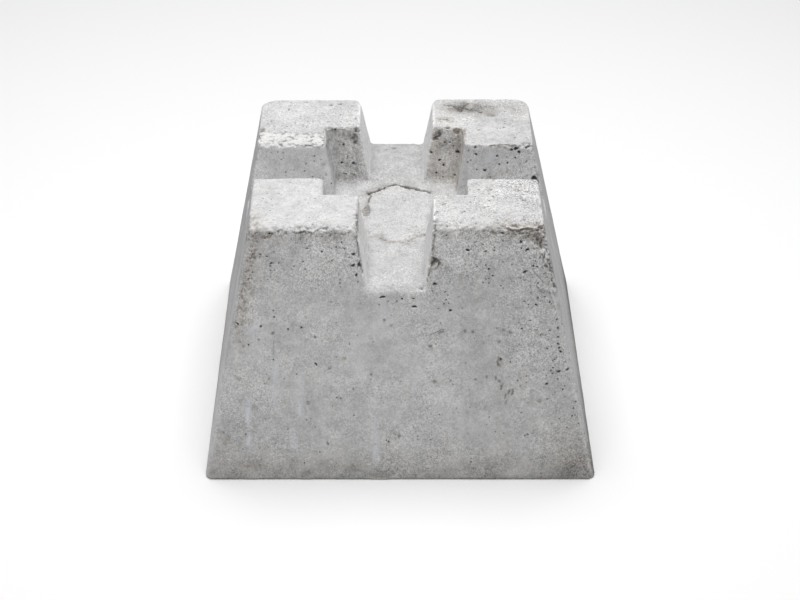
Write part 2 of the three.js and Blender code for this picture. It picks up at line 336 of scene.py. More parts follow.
HOLES_FLOOR = [
    (-4.1, 102.3, 0.94, 1.6, 10), (-10, 99.5, 0.78), (3.5, 17.1, 0.67, 1.2, 0), (10.7, -0.2, 0.52),
    (3, -5.6, 0.44), (11.1, -13.2, 0.51), (5.6, -47.7, 0.43), (19.8, -52.1, 0.36), (0.8, -99.7, 0.49),
    (7.6, -9.0, 0.4, 1.5, 20), (9.6, -16.5, 0.42, 1.8, 160), (8.2, -21.0, 0.38), (11.6, -22.5, 0.42, 1.6, 30),
    (13.0, -28.0, 0.4, 2.0, 10), (6.4, -27.0, 0.36, 1.6, 150), (10.4, -31.5, 0.4, 1.8, 0),
]
HOLES_SOCKET_BACK = [
    (-43.6, 157, 0.75, 1.2, 0), (-34.9, 156.5, 0.98), (-42.2, 170.7, 0.83), (-48.4, 182.1, 0.67),
    (-40.4, 148.4, 0.6), (-39.2, 161.9, 0.53), (-43.3, 183.9, 0.6), (29.9, 159, 0.75, 1.3, 20),
    (33.1, 155.2, 0.9), (22.9, 164.8, 1.2), (41.5, 147.7, 0.68), (32.8, 146, 0.6), (27.7, 149.2, 0.76),
    (43.4, 165.4, 0.9, 1.5, 0), (36, 183.6, 0.75, 2, 0), (37.5, 172.5, 0.53), (33.9, 172.5, 0.6, 1.5, 30),
]
HOLES_CROSS_BACK = [
    (55.7, 180.8, 0.81), (56.4, 175.6, 0.74, 1.3, 140), (71.9, 174.3, 0.74), (85.9, 179.9, 1.11, 1.6, 10),
    (88, 177.3, 0.96, 1.3, 130), (82.4, 179, 0.74, 1.6, 0), (95.4, 181.7, 0.89), (93.2, 180.3, 0.67),
    (85.4, 172.9, 0.67), (73.7, 167.9, 0.67), (79.8, 169, 0.67), (62.9, 163.4, 0.74, 1.6, 5),
    (57.1, 163.9, 0.59), (78.5, 185.4, 0.81), (79.5, 162, 0.45), (50.2, 169.6, 0.59), (93.6, 169.6, 0.52),
    (66.1, 160.6, 0.37), (-95.1, 177, 0.40), (-86.6, 176.6, 0.40), (-87.9, 171.6, 0.46, 1.3, 0),
    (-78.7, 163.4, 0.42), (-70.7, 162.7, 0.50), (-99.1, 165.2, 0.36), (-58.2, 171.3, 0.38),
]

# The crack across the socket's floor, and the patch of fresher mortar it bounds: x, y
CRACK = [
    (-23.2, 28.6, 0.45), (-20.4, 30.8, 0.4), (-16.0, 33.3, 0.5), (-11.8, 37.6, 0.45), (-6.8, 41.6, 0.35),
    (-2.8, 42.2, 0.3), (2.3, 40.6, 0.5), (6.9, 38.1, 0.65), (8.5, 36.9, 0.9), (11.3, 36.0, 0.75),
    (15.2, 33.4, 0.4), (19.0, 31.4, 0.3), (22.2, 29.6, 0.25),
]
PATCH = [
    (-22.6, 26.5), (-20.4, 30.8), (-16.0, 33.3), (-11.8, 37.6), (-6.8, 41.6), (2.3, 40.6), (8.5, 36.9),
    (15.2, 33.4), (22.2, 29.6), (20.5, 10.0), (19.0, -12.0), (18.5, -35.0), (12.8, -34.5), (8.4, -39.1),
    (3.3, -44.9), (-6.0, -44.6), (-13.2, -40.2), (-16.1, -34.7), (-20.4, -34.0), (-24.2, -33.0),
    (-24.2, -17.8), (-24.4, -8.8), (-22.8, -4.0), (-23.4, 6.0), (-22.0, 16.0),
]
# A spot broken from the floor left of the patch: x, y
SPOT = [(-24.4, 13.0), (-22.4, 6.5), (-22.0, 1.5), (-24.0, -6.5), (-26.6, -5.0), (-28.4, 3.2), (-26.4, 7.0)]
# Hair cracks in the back right post's top, with grey cement along them: x, y, width
VEINS = [
    [(35, 93, 0.2), (40, 92, 0.35), (45, 90, 0.5), (48, 89, 0.8), (50, 93, 0.5), (51, 97, 0.2)],
    [(48, 89, 0.6), (52, 86, 0.5), (55, 83, 0.3), (60, 81, 0.4), (66, 79, 0.2), (71, 76, 0.4)],
    [(41, 92, 0.2), (44, 86, 0.4), (47, 83, 0.2)],
    [(27, 71, 0.2), (32, 70, 0.4), (36, 68, 0.4), (39, 65, 0.2)],
    [(58, 92, 0.2), (64, 89, 0.4), (70, 90, 0.2)],
]
# Spots broken from the casting: middle, reach and depth
SPALLS = [
    ((97.5, -102.8, 175.5), (6.0, 6.5, 7.5), 2.6),
    ((92.0, -101.5, 183.0), (9.0, 3.4, 3.0), 1.1),
    ((104.8, -110.3, 141.9), (2.6, 2.6, 2.2), 0.9),
    ((21.4, -106.4, 160.0), (6.2, 5.4, 5.4), 3.2),
    ((17.9, -108.0, 152.8), (2.2, 2.8, 4.0), 2.2),
    ((-103.2, 51.1, 183.2), (3.0, 3.6, 3.0), 1.8),
    ((-31.5, 53.2, 182.0), (4.4, 3.6, 3.0), 1.8),
    ((-34.0, 51.9, 175.0), (4.2, 3.0, 5.0), 0.7),
    ((26.6, 52.8, 177.2), (4.2, 3.4, 1.5), 2.0),
    ((42.6, 53.4, 181.4), (2.8, 2.6, 3.0), 1.3),
    ((99.8, 23.6, 157.6), (2.1, 2.6, 2.3), 2.6), ((101.4, 23.4, 154.6), (2.3, 2.6, 1.5), 2.2),
    ((95.0, 28.0, 182.5), (7.0, 3.6, 3.4), 1.3),
]
# Crumbs lost from the front slot's right lip and mouth, and inside the back right post: middle and reach
LIP_CRUMBS = [
    ((22.8, -89.0, 184.0), (1.7, 3.0, 1.8)), ((22.4, -94.6, 182.2), (2.0, 2.2, 2.6)), ((21.6, -99.4, 177.0), (2.1, 2.6, 2.0)),
    ((20.8, -102.6, 170.0), (2.1, 2.6, 2.8)), ((19.2, -107.0, 164.6), (1.6, 2.4, 2.0)), ((17.0, -110.0, 149.6), (1.3, 2.6, 1.8)),
    ((24.4, 52.2, 174.9), (5.6, 3.0, 1.5)), ((30.0, 52.8, 178.6), (1.6, 3.0, 3.4)),
]
# Streaks of pale bloom down the front: x, lowest z, highest z, half width, strength
BLOOM = [
    (-107.8, 24.0, 62.0, 2.5, 1.2), (-88.3, 58.0, 97.0, 2.3, 1.0), (-70.6, 48.0, 81.0, 2.3, 1.15),
    (-17.4, 14.0, 47.0, 2.6, 1.0), (-76.4, 20.0, 41.0, 2.2, 0.85), (10.0, 67.0, 89.0, 3.2, 0.7),
    (-82.0, 18.0, 32.0, 1.6, 0.4), (38.0, 92.0, 104.0, 2.2, 0.3), (-55.0, 24.0, 60.0, 1.6, 0.3),
    (64.0, 30.0, 52.0, 2.0, 0.35), (-98.0, 96.0, 108.0, 2.4, 0.7), (-12.0, 112.0, 132.0, 5.0, 0.55),
]
# Hair scratches on the front: x, z to x, z
SCRATCHES = [
    (90.7, 155.1, 98.7, 146.3), (93.7, 143.8, 97.4, 139.4), (20.5, 108.5, 30.0, 113.0), (-88.6, 104.0, -88.9, 91.0),
    (-105.5, 64.0, -101.0, 60.0),
]


def in_patch(x, y, outline=PATCH):
    """Signed distance to an outline, below zero inside."""
    pts = np.array(outline)
    nxt = np.roll(pts, -1, 0)
    d = np.full(len(x), 1e9)
    inside = np.zeros(len(x), bool)
    for (ax, ay), (bx, by) in zip(pts, nxt):
        ex, ey = bx - ax, by - ay
        t = np.clip(((x - ax) * ex + (y - ay) * ey) / (ex * ex + ey * ey), 0, 1)
        d = np.minimum(d, np.hypot(x - ax - t * ex, y - ay - t * ey))
        cross = ((ay > y) != (by > y)) & (x < ex * (y - ay) / (ey if abs(ey) > 1e-9 else 1e-9) + ax)
        inside ^= cross
    return np.where(inside, -d, d)


def to_line(x, y, points):
    """Distance to a line of (x, y, width) less its width there."""
    best = np.full(len(x), 1e9)
    for (ax, ay, aw), (bx, by, bw) in zip(points, points[1:]):
        ex, ey = bx - ax, by - ay
        t = np.clip(((x - ax) * ex + (y - ay) * ey) / (ex * ex + ey * ey), 0, 1)
        best = np.minimum(best, np.hypot(x - ax - t * ex, y - ay - t * ey) - (aw + t * (bw - aw)))
    return best


AX_FRONT = (np.array((1.0, 0, 0)), np.array((0, -SLOPE * SIDE_COS, SIDE_COS)))
AX_FLAT = (np.array((1.0, 0, 0)), np.array((0, 1.0, 0)))
AX_UP = (np.array((1.0, 0, 0)), np.array((0, 0.12, 0.99)))


def all_holes():
    """Every air hole as (centre, axes, radius, stretch, turn, depth)."""
    holes = []
    for rows, place, axes in (
        (HOLES_FRONT, on_front, AX_FRONT),
        (HOLES_TOP, on_top, AX_FLAT),
        (HOLES_FLOOR, on_floor, AX_FLAT),
        (HOLES_SOCKET_BACK, on_socket_back, AX_UP),
        (HOLES_CROSS_BACK, on_cross_back, AX_UP),
    ):
        for row in rows:
            u, v, r = row[:3]
            stretch, turn = (row[3], row[4]) if len(row) > 3 else (1.0, 0.0)
            grow = 1.18 if r > 0.6 else 1.1
            holes.append((np.array(place(u, v)), axes, r * grow, stretch, turn, r * (1.9 if r > 0.6 else 1.5)))
    # smaller ones, scattered: on the front, and on the sides that the photograph doesn't show
    half = lambda z: FOOT_HALF + SLOPE * z
    for side, count in (("front", 22), ("left", 26), ("right", 26), ("back", 26)):
        for _ in range(count):
            z = rng.uniform(6, 178) if side != "front" else 178 - 150 * rng.beta(1.1, 1.6)
            u = rng.uniform(-1, 1) * (half(z) - 8)
            r = 0.34 + 0.14 * rng.random() if side == "front" else 0.5 + 0.55 * rng.random() ** 2
            lean = LEAN * z / FRUSTUM_HEIGHT
            if side == "front":
                c, axes = np.array((u + lean, -half(z), z)), AX_FRONT
            elif side == "back":
                c, axes = np.array((u + lean, half(z), z)), (AX_FRONT[0], AX_FRONT[1] * (1, -1, 1))
            else:
                s = -1 if side == "left" else 1
                c = np.array((s * half(z) + lean, u, z))
                axes = (np.array((0, 1.0, 0)), np.array((s * SLOPE * SIDE_COS, 0, SIDE_COS)))
            holes.append((c, axes, r, 1.0 + 0.8 * rng.random() ** 3, rng.uniform(0, 180), r * 1.3))
    for _ in range(22):
        z = rng.uniform(34, 138)
        c = np.array((102.5 - 0.205 * (z - 100) + rng.normal(0, 3.0) + LEAN * z / FRUSTUM_HEIGHT + 4.0, -half(z), z))
        holes.append((c, AX_FRONT, 0.36 + 0.35 * rng.random() ** 2, 1.0 + rng.random() ** 2, rng.uniform(60, 120), 0.7))
    # the front right post's top is pocked all over, the others much less
    for (x0, x1, y0, y1), count in (
        ((31, 95, -94, -32), 56), ((-95, -33, -94, -32), 4), ((-95, -33, 50, 94), 5), ((31, 93, 32, 94), 8),
    ):
        for _ in range(count):
            x, y = rng.uniform(x0, x1), rng.uniform(y0, y1)
            if count == 56 and rng.random() < 0.62:
                y = y1 - abs(rng.normal(0, 20))
            r = 0.36 + 0.26 * rng.random() ** 2
            holes.append((np.array((x, y, HEIGHT)), AX_FLAT, r, 1.0 + 0.8 * rng.random() ** 2, rng.uniform(0, 180), r * 1.2))
    # walls of the slots and the socket
    for _ in range(16):
        z = rng.uniform(146, 180)
        u = rng.choice((-1, 1)) * rng.uniform(56, 98)
        up = (z - FLOOR_Z) / (HEIGHT - FLOOR_Z)
        w = 20.4 + 6.8 * up
        s = rng.choice((-1, 1))
        r = 0.45 + 0.4 * rng.random() ** 2
        if rng.random() < 0.5:
            c, axes = np.array((-2.75 + 0.0095 * u - 0.35 * up + s * w, u, z)), (np.array((0, 1.0, 0)), np.array((0, 0, 1.0)))
        else:
            c, axes = np.array((u, 0.4 * up - w, z)), AX_UP
        holes.append((c, axes, r, 1.0 + 0.6 * rng.random() ** 2, rng.uniform(0, 180), r * 1.3))
    return holes


HOLES = all_holes()


# ---------------------------------------------------------------------------
# Mesh: a coarse skin of the field, refined to the size that each place needs
# ---------------------------------------------------------------------------
def coarse_skin(step):
    lo = np.array((-144.0, -144.0, -6.0)) + 0.37
    n = np.ceil((np.array((288.0, 288.0, 196.0))) / step).astype(int) + 1
    axes = [lo[i] + step * np.arange(n[i]) for i in range(3)]
    grid = np.stack(np.meshgrid(*axes, indexing="ij"), -1).reshape(-1, 3)
    f = field(grid).reshape(n)
    inside = f < 0
    cells = tuple(n - 1)
    corner = [(i, j, k) for i in (0, 1) for j in (0, 1) for k in (0, 1)]
    take = lambda a, c: a[c[0]:c[0] + cells[0], c[1]:c[1] + cells[1], c[2]:c[2] + cells[2]]
    count = sum(take(inside, c).astype(np.int8) for c in corner)
    mixed = (count > 0) & (count < 8)
    at = np.argwhere(mixed)
    index = -np.ones(cells, np.int64)
    index[mixed] = np.arange(len(at))
    total, hits = np.zeros((len(at), 3)), np.zeros(len(at))
    value = {c: take(f, c)[mixed] for c in corner}
    for a in corner:
        for axis in range(3):
            if a[axis]:
                continue
            b = list(a)
            b[axis] = 1
            fa, fb = value[a], value[tuple(b)]
            cross = (fa < 0) != (fb < 0)
            t = np.where(cross, fa / np.where(cross, fa - fb, 1), 0)
            p = np.array(a, float) + np.zeros((len(at), 3))
            p[:, axis] = t
            total += p * cross[:, None]
            hits += cross
    verts = lo + step * (at + total / hits[:, None])
    faces = []
    for a in range(3):
        b, c = (a + 1) % 3, (a + 2) % 3
        sl = [slice(1, -1)] * 3
        sl[a] = slice(0, -1)
        lo_f = inside[tuple(sl)]
        sl2 = list(sl)
        sl2[a] = slice(1, None)
        hi_f = inside[tuple(sl2)]
        change = np.argwhere(lo_f != hi_f)
        node = change + np.array([0 if i == a else 1 for i in range(3)])
        quad = []
        for db, dc in ((-1, -1), (0, -1), (0, 0), (-1, 0)):
            q = node.copy()
            q[:, b] += db
            q[:, c] += dc
            quad.append(index[q[:, 0], q[:, 1], q[:, 2]])
        quad = np.stack(quad, 1)
        flip = ~lo_f[tuple(change.T)]
        quad[flip] = quad[flip][:, ::-1]
        faces.append(quad)
    quads = np.concatenate(faces)
    tris = np.concatenate([quads[:, [0, 1, 2]], quads[:, [0, 2, 3]]])
    return verts, tris


def edges_of(tris, n):
    e = np.sort(tris[:, [0, 1, 1, 2, 2, 0]].reshape(-1, 2), 1)
    key = e[:, 0] * np.int64(n) + e[:, 1]
    unique, inverse = np.unique(key, return_inverse=True)
    return np.stack([unique // n, unique % n], 1), inverse.reshape(-1, 3)


def refine(verts, tris, want, passes=8):
    for _ in range(passes):
        n = len(verts)
        edge, of = edges_of(tris, n)
        mid = (verts[edge[:, 0]] + verts[edge[:, 1]]) / 2
        length = np.linalg.norm(verts[edge[:, 0]] - verts[edge[:, 1]], axis=1)
        split = length > want(mid)
        if not split.any():
            break
        new = -np.ones(len(edge), np.int64)
        new[split] = n + np.arange(split.sum())
        verts = np.concatenate([verts, project(mid[split], 1)])
        m = new[of]
        marks = (m >= 0).astype(int) @ (1, 2, 4)
        out = [tris[marks == 0]]
        for r in range(3):
            one = marks == (1 << r)
            t, e = tris[one], m[one]
            a, b, c, x = t[:, r], t[:, (r + 1) % 3], t[:, (r + 2) % 3], e[:, r]
            out += [np.stack([a, x, c], 1), np.stack([x, b, c], 1)]
            # the edges r and r + 1 are split
            two = marks == ((1 << r) | (1 << ((r + 1) % 3)))
            t, e = tris[two], m[two]
            a, b, c = t[:, r], t[:, (r + 1) % 3], t[:, (r + 2) % 3]
            x, y = e[:, r], e[:, (r + 1) % 3]
            out.append(np.stack([x, b, y], 1))
            d1 = np.linalg.norm(verts[a] - verts[y], axis=1)
            d2 = np.linalg.norm(verts[x] - verts[c], axis=1)
            s = (d1 < d2)[:, None]
            out += [
                np.where(s, np.stack([a, x, y], 1), np.stack([a, x, c], 1)),
                np.where(s, np.stack([a, y, c], 1), np.stack([x, y, c], 1)),
            ]
        three = marks == 7
        t, e = tris[three], m[three]
        out += [
            np.stack([t[:, 0], e[:, 0], e[:, 2]], 1),
            np.stack([e[:, 0], t[:, 1], e[:, 1]], 1),
            np.stack([e[:, 2], e[:, 1], t[:, 2]], 1),
            e,
        ]
        tris = np.concatenate(out)
    return verts, tris


def relax(verts, tris, times, keep=0.5):
    """Evens the triangles out along the surface."""
    edge, _ = edges_of(tris, len(verts))
    n = len(verts)
    a, b = edge.T
    degree = np.bincount(a, minlength=n) + np.bincount(b, minlength=n)
    for _ in range(times):
        mean = np.stack(
            [np.bincount(a, verts[b, i], n) + np.bincount(b, verts[a, i], n) for i in range(3)], 1
        ) / degree[:, None]
        move = (mean - verts) * keep
        g = gradient(verts)
        g /= np.linalg.norm(g, axis=1, keepdims=True)
        move -= g * (move * g).sum(1, keepdims=True)
        verts = verts + move
    return project(verts, 1)


CELL = 1.0
GRID_LO = np.array((-142.0, -142.0, -2.0))
GRID_N = (285, 285, 189)
near_marks = np.full(GRID_N, 99.0, np.float32)


def ask(centre, reach, size, growth=1.0):
    """Triangles of this size within reach of the centre, and larger ones further out."""
    pad = 6.0
    lo = np.maximum(((centre - reach - pad - GRID_LO) / CELL).astype(int), 0)
    hi = np.minimum(((centre + reach + pad - GRID_LO) / CELL).astype(int) + 2, GRID_N)
    if (hi <= lo).any():
        return
    g = np.meshgrid(*[GRID_LO[i] + CELL * (np.arange(lo[i], hi[i]) + 0.5) for i in range(3)], indexing="ij")
    d = np.sqrt(sum((g[i] - centre[i]) ** 2 for i in range(3)))
    block = near_marks[lo[0]:hi[0], lo[1]:hi[1], lo[2]:hi[2]]
    np.minimum(block, (size + growth * np.maximum(d - reach - 0.5, 0)).astype(np.float32), out=block)


def marks_to_grid():
    for c, axes, r, stretch, turn, depth in HOLES:
        ask(c, r * (0.5 + 0.5 * stretch), max(0.84 * r, 0.5))
    for x0, z0, x1, z1 in SCRATCHES:
        for t in np.linspace(0, 1, 8):
            ask(np.array(on_front(x0 + t * (x1 - x0), z0 + t * (z1 - z0))), 0.8, 0.55)
    for u, v, r, *_ in STAINS_FRONT:
        ask(np.array(on_front(u, v)), r * (0.6 + 0.45 * (_[0] if _ else 1.0)), min(1.5, max(0.9, 0.6 * r)))
    for c, reach, depth in SPALLS:
        ask(np.array(c), max(reach) * 0.8, 1.05)
    for z in np.arange(152, 180, 0.9):
        up = (z - FLOOR_Z) / (HEIGHT - FLOOR_Z)
        y = -(FOOT_HALF + SLOPE * z)
        x = -2.75 + 0.0095 * y - 0.35 * up - (20.2 + (27.0 + 0.008 * y - 20.2) * up)
        ask(np.array((x - 0.9, y, z)), 1.0, 0.55)
    for ax, ay in PATCH:
        if ay < -30:
            ask(np.array((ax, ay, FLOOR_Z)), 3.4, 0.9)
    for ay in (24, 20, 8, 3, -2):
        ask(np.array((-23.4 if ay > 10 else -25.2, ay, FLOOR_Z)), 2.6, 0.85)
    for points in VEINS:
        for (ax, ay, aw), (bx, by, bw) in zip(points, points[1:]):
            for t in (0, 0.5, 1):
                ask(np.array((ax + t * (bx - ax), ay + t * (by - ay), HEIGHT)), 1.5, 0.8)
    for (ax, ay, aw), (bx, by, bw) in zip(CRACK, CRACK[1:]):
        for t in np.linspace(0, 1, 5):
            ask(np.array((ax + t * (bx - ax), ay + t * (by - ay), FLOOR_Z)), 1.6, 0.5)


def wanted(p):
    x, y, z = p.T
    parts = parts_of(p)
    px, py, side, top, wallx, wally, sock, floor = parts
    e = edge_distances(p, parts)
    front = (y < 0) & (py > px - 1) & (np.abs(side) < 1.5)
    size = np.full(len(p), 6.0)
    size = np.where(z < 0.5, 30.0, size)
    size = np.where(front & (z > 0.5), 3.4, size)
    upper = (z > 141) & (np.abs(side) > 1.5)
    size = np.where(upper, 3.2, size)
    near = np.minimum(np.minimum(e["outer"], e["lip"]), e["mouth"])
    shown = (y < 60) | (z > 180)
    size = np.minimum(size, np.where(shown, 1.35, 2.4) + 0.9 * np.maximum(near - 2.2, 0))
    size = np.minimum(size, 2.8 + 0.8 * np.maximum(np.minimum(e["corner"], e["inner"]) - 3.0, 0))
    size = np.minimum(size, 3.0 + 0.9 * np.maximum(np.minimum(e["root"], e["foot"]) - 1.6, 0))
    # crumbled bands
    band = (z > 176) & (x < -48) & (y > 24) & (y < 51)
    size = np.where(band, np.minimum(size, 0.85), size)
    crumbly = (y < -60) & ((e["outer"] < 7) | ((e["corner"] < 5) & (z > 138))) & (np.abs(side) < 3)
    size = np.where(crumbly & (z > 138), np.minimum(size, 0.85), size)
    crumbly = (y > 24) & (y < 34) & (x > 48) & (z > 172)
    size = np.where(crumbly, np.minimum(size, 0.9), size)
    crumbly = (y < -45) & (np.abs(x + 3) < 34) & (z > 144) & (np.minimum(e["lip"], e["mouth"]) < 2.4)
    size = np.where(crumbly, np.minimum(size, 0.95), size)
    crumbly = (y > 47) & (y < 56) & (x < 50) & (x > -58) & (z > 168)
    size = np.where(crumbly, np.minimum(size, 1.0), size)
    i = np.clip(((p - GRID_LO) / CELL).astype(int), 0, np.array(GRID_N) - 1)
    return 1.12 * np.minimum(size, near_marks[i[:, 0], i[:, 1], i[:, 2]])


marks_to_grid()
verts, tris = coarse_skin(4.0)
verts = project(verts, 3)
verts = relax(verts, tris, 3)
verts, tris = refine(verts, tris, wanted)
verts = relax(verts, tris, 3, 0.4)


# ---------------------------------------------------------------------------
# Relief, along the smooth casting's normal, and the masks the finish reads
# ---------------------------------------------------------------------------
def relief(p, normal):
    x, y, z = p.T
    parts = parts_of(p)
    px, py, side, top, wallx, wally, sock, floor = parts
    e = edge_distances(p, parts)
    nz = normal[:, 2]
    n = len(p)
    dark, pale, brown, bloom_and_blue_cast = (np.zeros(n) for _ in range(4))
    pocks = np.full(n, 0.16)
    tone = np.zeros(n)
    flat_top = smooth(1.2, 0.2, np.abs(top)) * smooth(0.6, 0.9, nz)
    on_floor_ = smooth(3.0, 1.0, np.abs(z - FLOOR_Z)) * smooth(0.5, 0.9, nz)
    front = smooth(-0.7, -0.9, normal[:, 1]) * (z < 184) * (np.abs(side) < 2)
    # slow undulation and grain
    d = 0.16 * noise(p, 64, 1) + 0.10 * noise(p, 23, 2) + 0.05 * fbm(p, 8, 3, 3)
    d += flat_top * (0.20 * noise(p, 30, 4) + 0.10 * fbm(p, 11, 3, 5))
    d -= 0.10 * flat_top
    hilly = flat_top * (x > 20) * (y > 20)
    d -= hilly * (0.95 * smooth(0.0, 0.5, fbm(p * (0.8, 1.3, 1), 13, 3, 6)) + 0.45 * smooth(0.0, 0.4, noise(p, 5, 7)))
    d -= flat_top * (x < -20) * (y > 20) * 0.30 * smooth(0.05, 0.45, fbm(p, 12, 3, 8))
    d -= flat_top * (y < 0) * 0.16 * smooth(0.0, 0.5, fbm(p, 10, 3, 11))

    # ---- edges: uneven, with crumbs --------------------------------------
    fl = smooth(-60, -92, y) * smooth(150, 170, z) * smooth(10, -30, x)  # front left post
    fr = smooth(-10, -40, y) * smooth(135, 165, z) * smooth(20, 40, x)  # front right post
    bl = smooth(0, -45, x) * smooth(10, 20, y) * smooth(60, 45, y) * smooth(170, 178, z)
    br = smooth(40, 70, x) * smooth(10, 20, y) * smooth(60, 40, y) * smooth(165, 178, z)
    rough = 0.34 + 0.7 * fl + 0.85 * fr + 1.0 * bl + 0.8 * br
    near = np.minimum(e["outer"], np.minimum(e["lip"], e["mouth"]))
    edge = np.exp(-((near / 2.6) ** 2))
    edgev = np.exp(-((e["corner"] / 2.6) ** 2)) * smooth(100, 150, z) * (0.45 + 0.55 * (y < 0))
    mask = np.maximum(edge, edgev * 0.6) * rough
    warp = 0.8 * np.stack([noise(p, 5, 41), noise(p, 5, 42), noise(p, 5, 43)], 1)
    f1, f2, cell = worley(p + warp, 3.1, 9)
    k1, k2, kell = worley(p + warp, 1.7, 10)
    ragged = fbm(p, 9, 4, 12)
    d += mask * (0.7 * (0.42 - f1) * (0.5 + cell) + 0.35 * (0.45 - k1) - 0.5 * smooth(-0.1, 0.5, ragged))
    d -= mask * 0.40 * smooth(0.0, 0.5, noise(p, 3.2, 14))
    pale += mask * smooth(0.1, 0.6, nz) * (0.35 + 0.5 * noise(p, 2.2, 15))
    rim = np.exp(-((e["outer"] / 4.2) ** 2)) * (y < -80) * (fl * 0.9 + fr * 0.6)
    d += rim * (1.25 * noise(p * (1, 0.5, 0.5), 6.0, 16) + 0.75 * noise(p, 3.0, 17) - 0.4)
    # small knocks along every edge
    knock = smooth(0.30, 0.62, noise(p, 13, 21)) * np.exp(-((near / 2.2) ** 2))
    d -= 0.8 * knock

    # ---- the broken band along the back left post's front edge -------------
    reach = 45.5 + 3.2 * noise(p * (1, 0.2, 1), 13, 31) + 1.6 * noise(p * (1, 0.4, 1), 4, 32)
    band = smooth(1.2, -1.2, y - reach) * smooth(-50, -55, x) * smooth(180.4, 182.0, z) * (y > 20)
    g1, g2, gc = worley(p * (1, 1, 0.7) + warp, 3.7, 33)
    h1, h2, hc = worley(p + warp, 2.2, 34)
    dome = np.sqrt(np.clip(1 - (g1 / 0.85) ** 2, 0, 1))
    dome2 = np.sqrt(np.clip(1 - (h1 / 0.8) ** 2, 0, 1))
    fore = smooth(34, 28, y)
    d += band * (-0.95 + (1.0 + 0.9 * fore) * dome * (0.35 + 0.65 * gc) + 0.55 * dome2 * hc - 0.3 * fore)
    # painted highlight on the lumps' tops and painted shade in the hollows between them; the band's slight lightening
    # is painted light too
    pale = np.maximum(pale, band * (0.75 - 0.6 * smooth(0.5, 0.85, g1)))
    tone += 0.03 * band
    dark = np.maximum(dark, band * (0.55 * smooth(0.55, 0.85, g1) + 0.5 * smooth(0.58, 0.8, h1) * smooth(-0.1, 0.4, noise(p, 6, 36))))
    # specks of dirt where the band meets the sound top
    rim = np.exp(-(((y - reach) / 1.1) ** 2)) * smooth(-50, -56, x) * flat_top * (y > 25)
    rim *= smooth(0.0, 0.4, noise(p, 3.0, 35))
    d -= 0.6 * rim
    dark = np.maximum(dark, 0.45 * rim)

    # ---- front edge of the front left post: crumbly, dirt in its pits --------
    drop = np.abs(side) < 4.0
    lowest = 175.0 + 3.0 * noise(p * (1, 1, 0.2), 8, 50)
    under = smooth(-0.85, -0.05, noise(p * (1, 0.3, 0.6), 11, 49)) * smooth(lowest - 4.5, lowest + 2.0, z) * smooth(-84, -96, y) * drop * smooth(-27, -33, x)
    fade = smooth(0.62, 0.28, nz)
    pit = smooth(0.06, 0.46, noise(p * (1, 1, 1.1), 1.9, 51) + 0.35 * noise(p, 7, 52))
    pit2 = smooth(0.1, 0.5, noise(p, 1.3, 53))
    d -= under * (0.75 * pit * (0.4 + 0.6 * fade) + 0.25 * pit2)
    d += under * 0.45 * (0.45 - f1)
    dark = np.maximum(dark, under * fade * np.clip(0.46 * pit + 0.25 * pit2, 0, 1))
    brown = np.maximum(brown, under * fade * (0.35 + 0.65 * pit))
    tone -= 0.07 * under * fade
    # deeper crevices here and there
    for cx, cz, wide_ in ((-82.5, 181.2, 5.2), (-70.5, 180.8, 4.6), (-60.0, 180.6, 4.4), (-52.0, 182.2, 2.8), (-92.0, 179.4, 2.6)):
        w = np.exp(-(((x - cx + 1.8 * noise(p, 4, 54)) / wide_) ** 2) - (((z - cz - 1.4 * noise(p, 4, 55)) / 1.6) ** 2)) * (y < -86)
        w *= smooth(-0.2, 0.3, noise(p, 2.1, 48))
        d -= 1.2 * w
        dark = np.maximum(dark, 0.72 * w)
    # brown specks on the left end of the front left post's top
    nook = np.exp(-(((x + 101.5) / 4.5) ** 2 + ((y + 93) / 13) ** 2)) * (z > 176)
    speck = smooth(0.0, 0.35, noise(p, 2.7, 47)) * nook
    d -= 0.5 * speck
    dark = np.maximum(dark, 0.6 * speck)
    brown = np.maximum(brown, np.maximum(0.9 * speck, 0.45 * nook))

    # ---- front right post: coarse crumbs and a brown broken corner -----------
    lowest = 177.5 - 3.5 * smooth(60, 96, x) + 2.0 * noise(p * (1, 1, 0.2), 9, 60)
    edge_fr = smooth(lowest - 3.5, lowest + 2.0, z) * smooth(-82, -96, y) * drop * smooth(23, 28, x)
    grow = smooth(45, 88, x)
    layers = np.sin(z * 2.3 + 2.4 * noise(p, 7, 61) + 0.8 * noise(p, 3, 62))
    pit = smooth(-0.05, 0.45, noise(p * (0.8, 1, 1.4), 2.9, 63))
    pit2 = smooth(0.05, 0.5, noise(p, 1.6, 64))
    d -= edge_fr * (0.45 + 0.8 * grow) * (0.15 + 0.30 * layers * grow + 0.75 * pit + 0.3 * pit2)
    d += edge_fr * 0.5 * (0.45 - f1)
    shade = edge_fr * smooth(0.9, 0.55, nz)
    dark = np.maximum(dark, shade * (0.35 + 0.65 * grow) * np.clip(0.62 * pit * smooth(-0.3, 0.3, noise(p, 6, 59)) + 0.25 * pit2, 0, 1))
    brown = np.maximum(brown, edge_fr * (0.25 + 0.75 * grow) * (0.4 + 0.6 * pit))
    tone -= 0.07 * shade
    ledge = smooth(-88.0, -92.0, y + 1.8 * noise(p, 7, 37)) * smooth(55, 74, x) * (z > 180)
    split = smooth(0.05, 0.4, noise(p * (0.55, 1.5, 1.5), 3.0, 38) + 0.25 * noise(p, 8, 39))
    d -= ledge * (0.2 + 0.75 * split)
    dark = np.maximum(dark, ledge * split * 0.62)
    brown = np.maximum(brown, ledge * (0.35 + 0.6 * split))
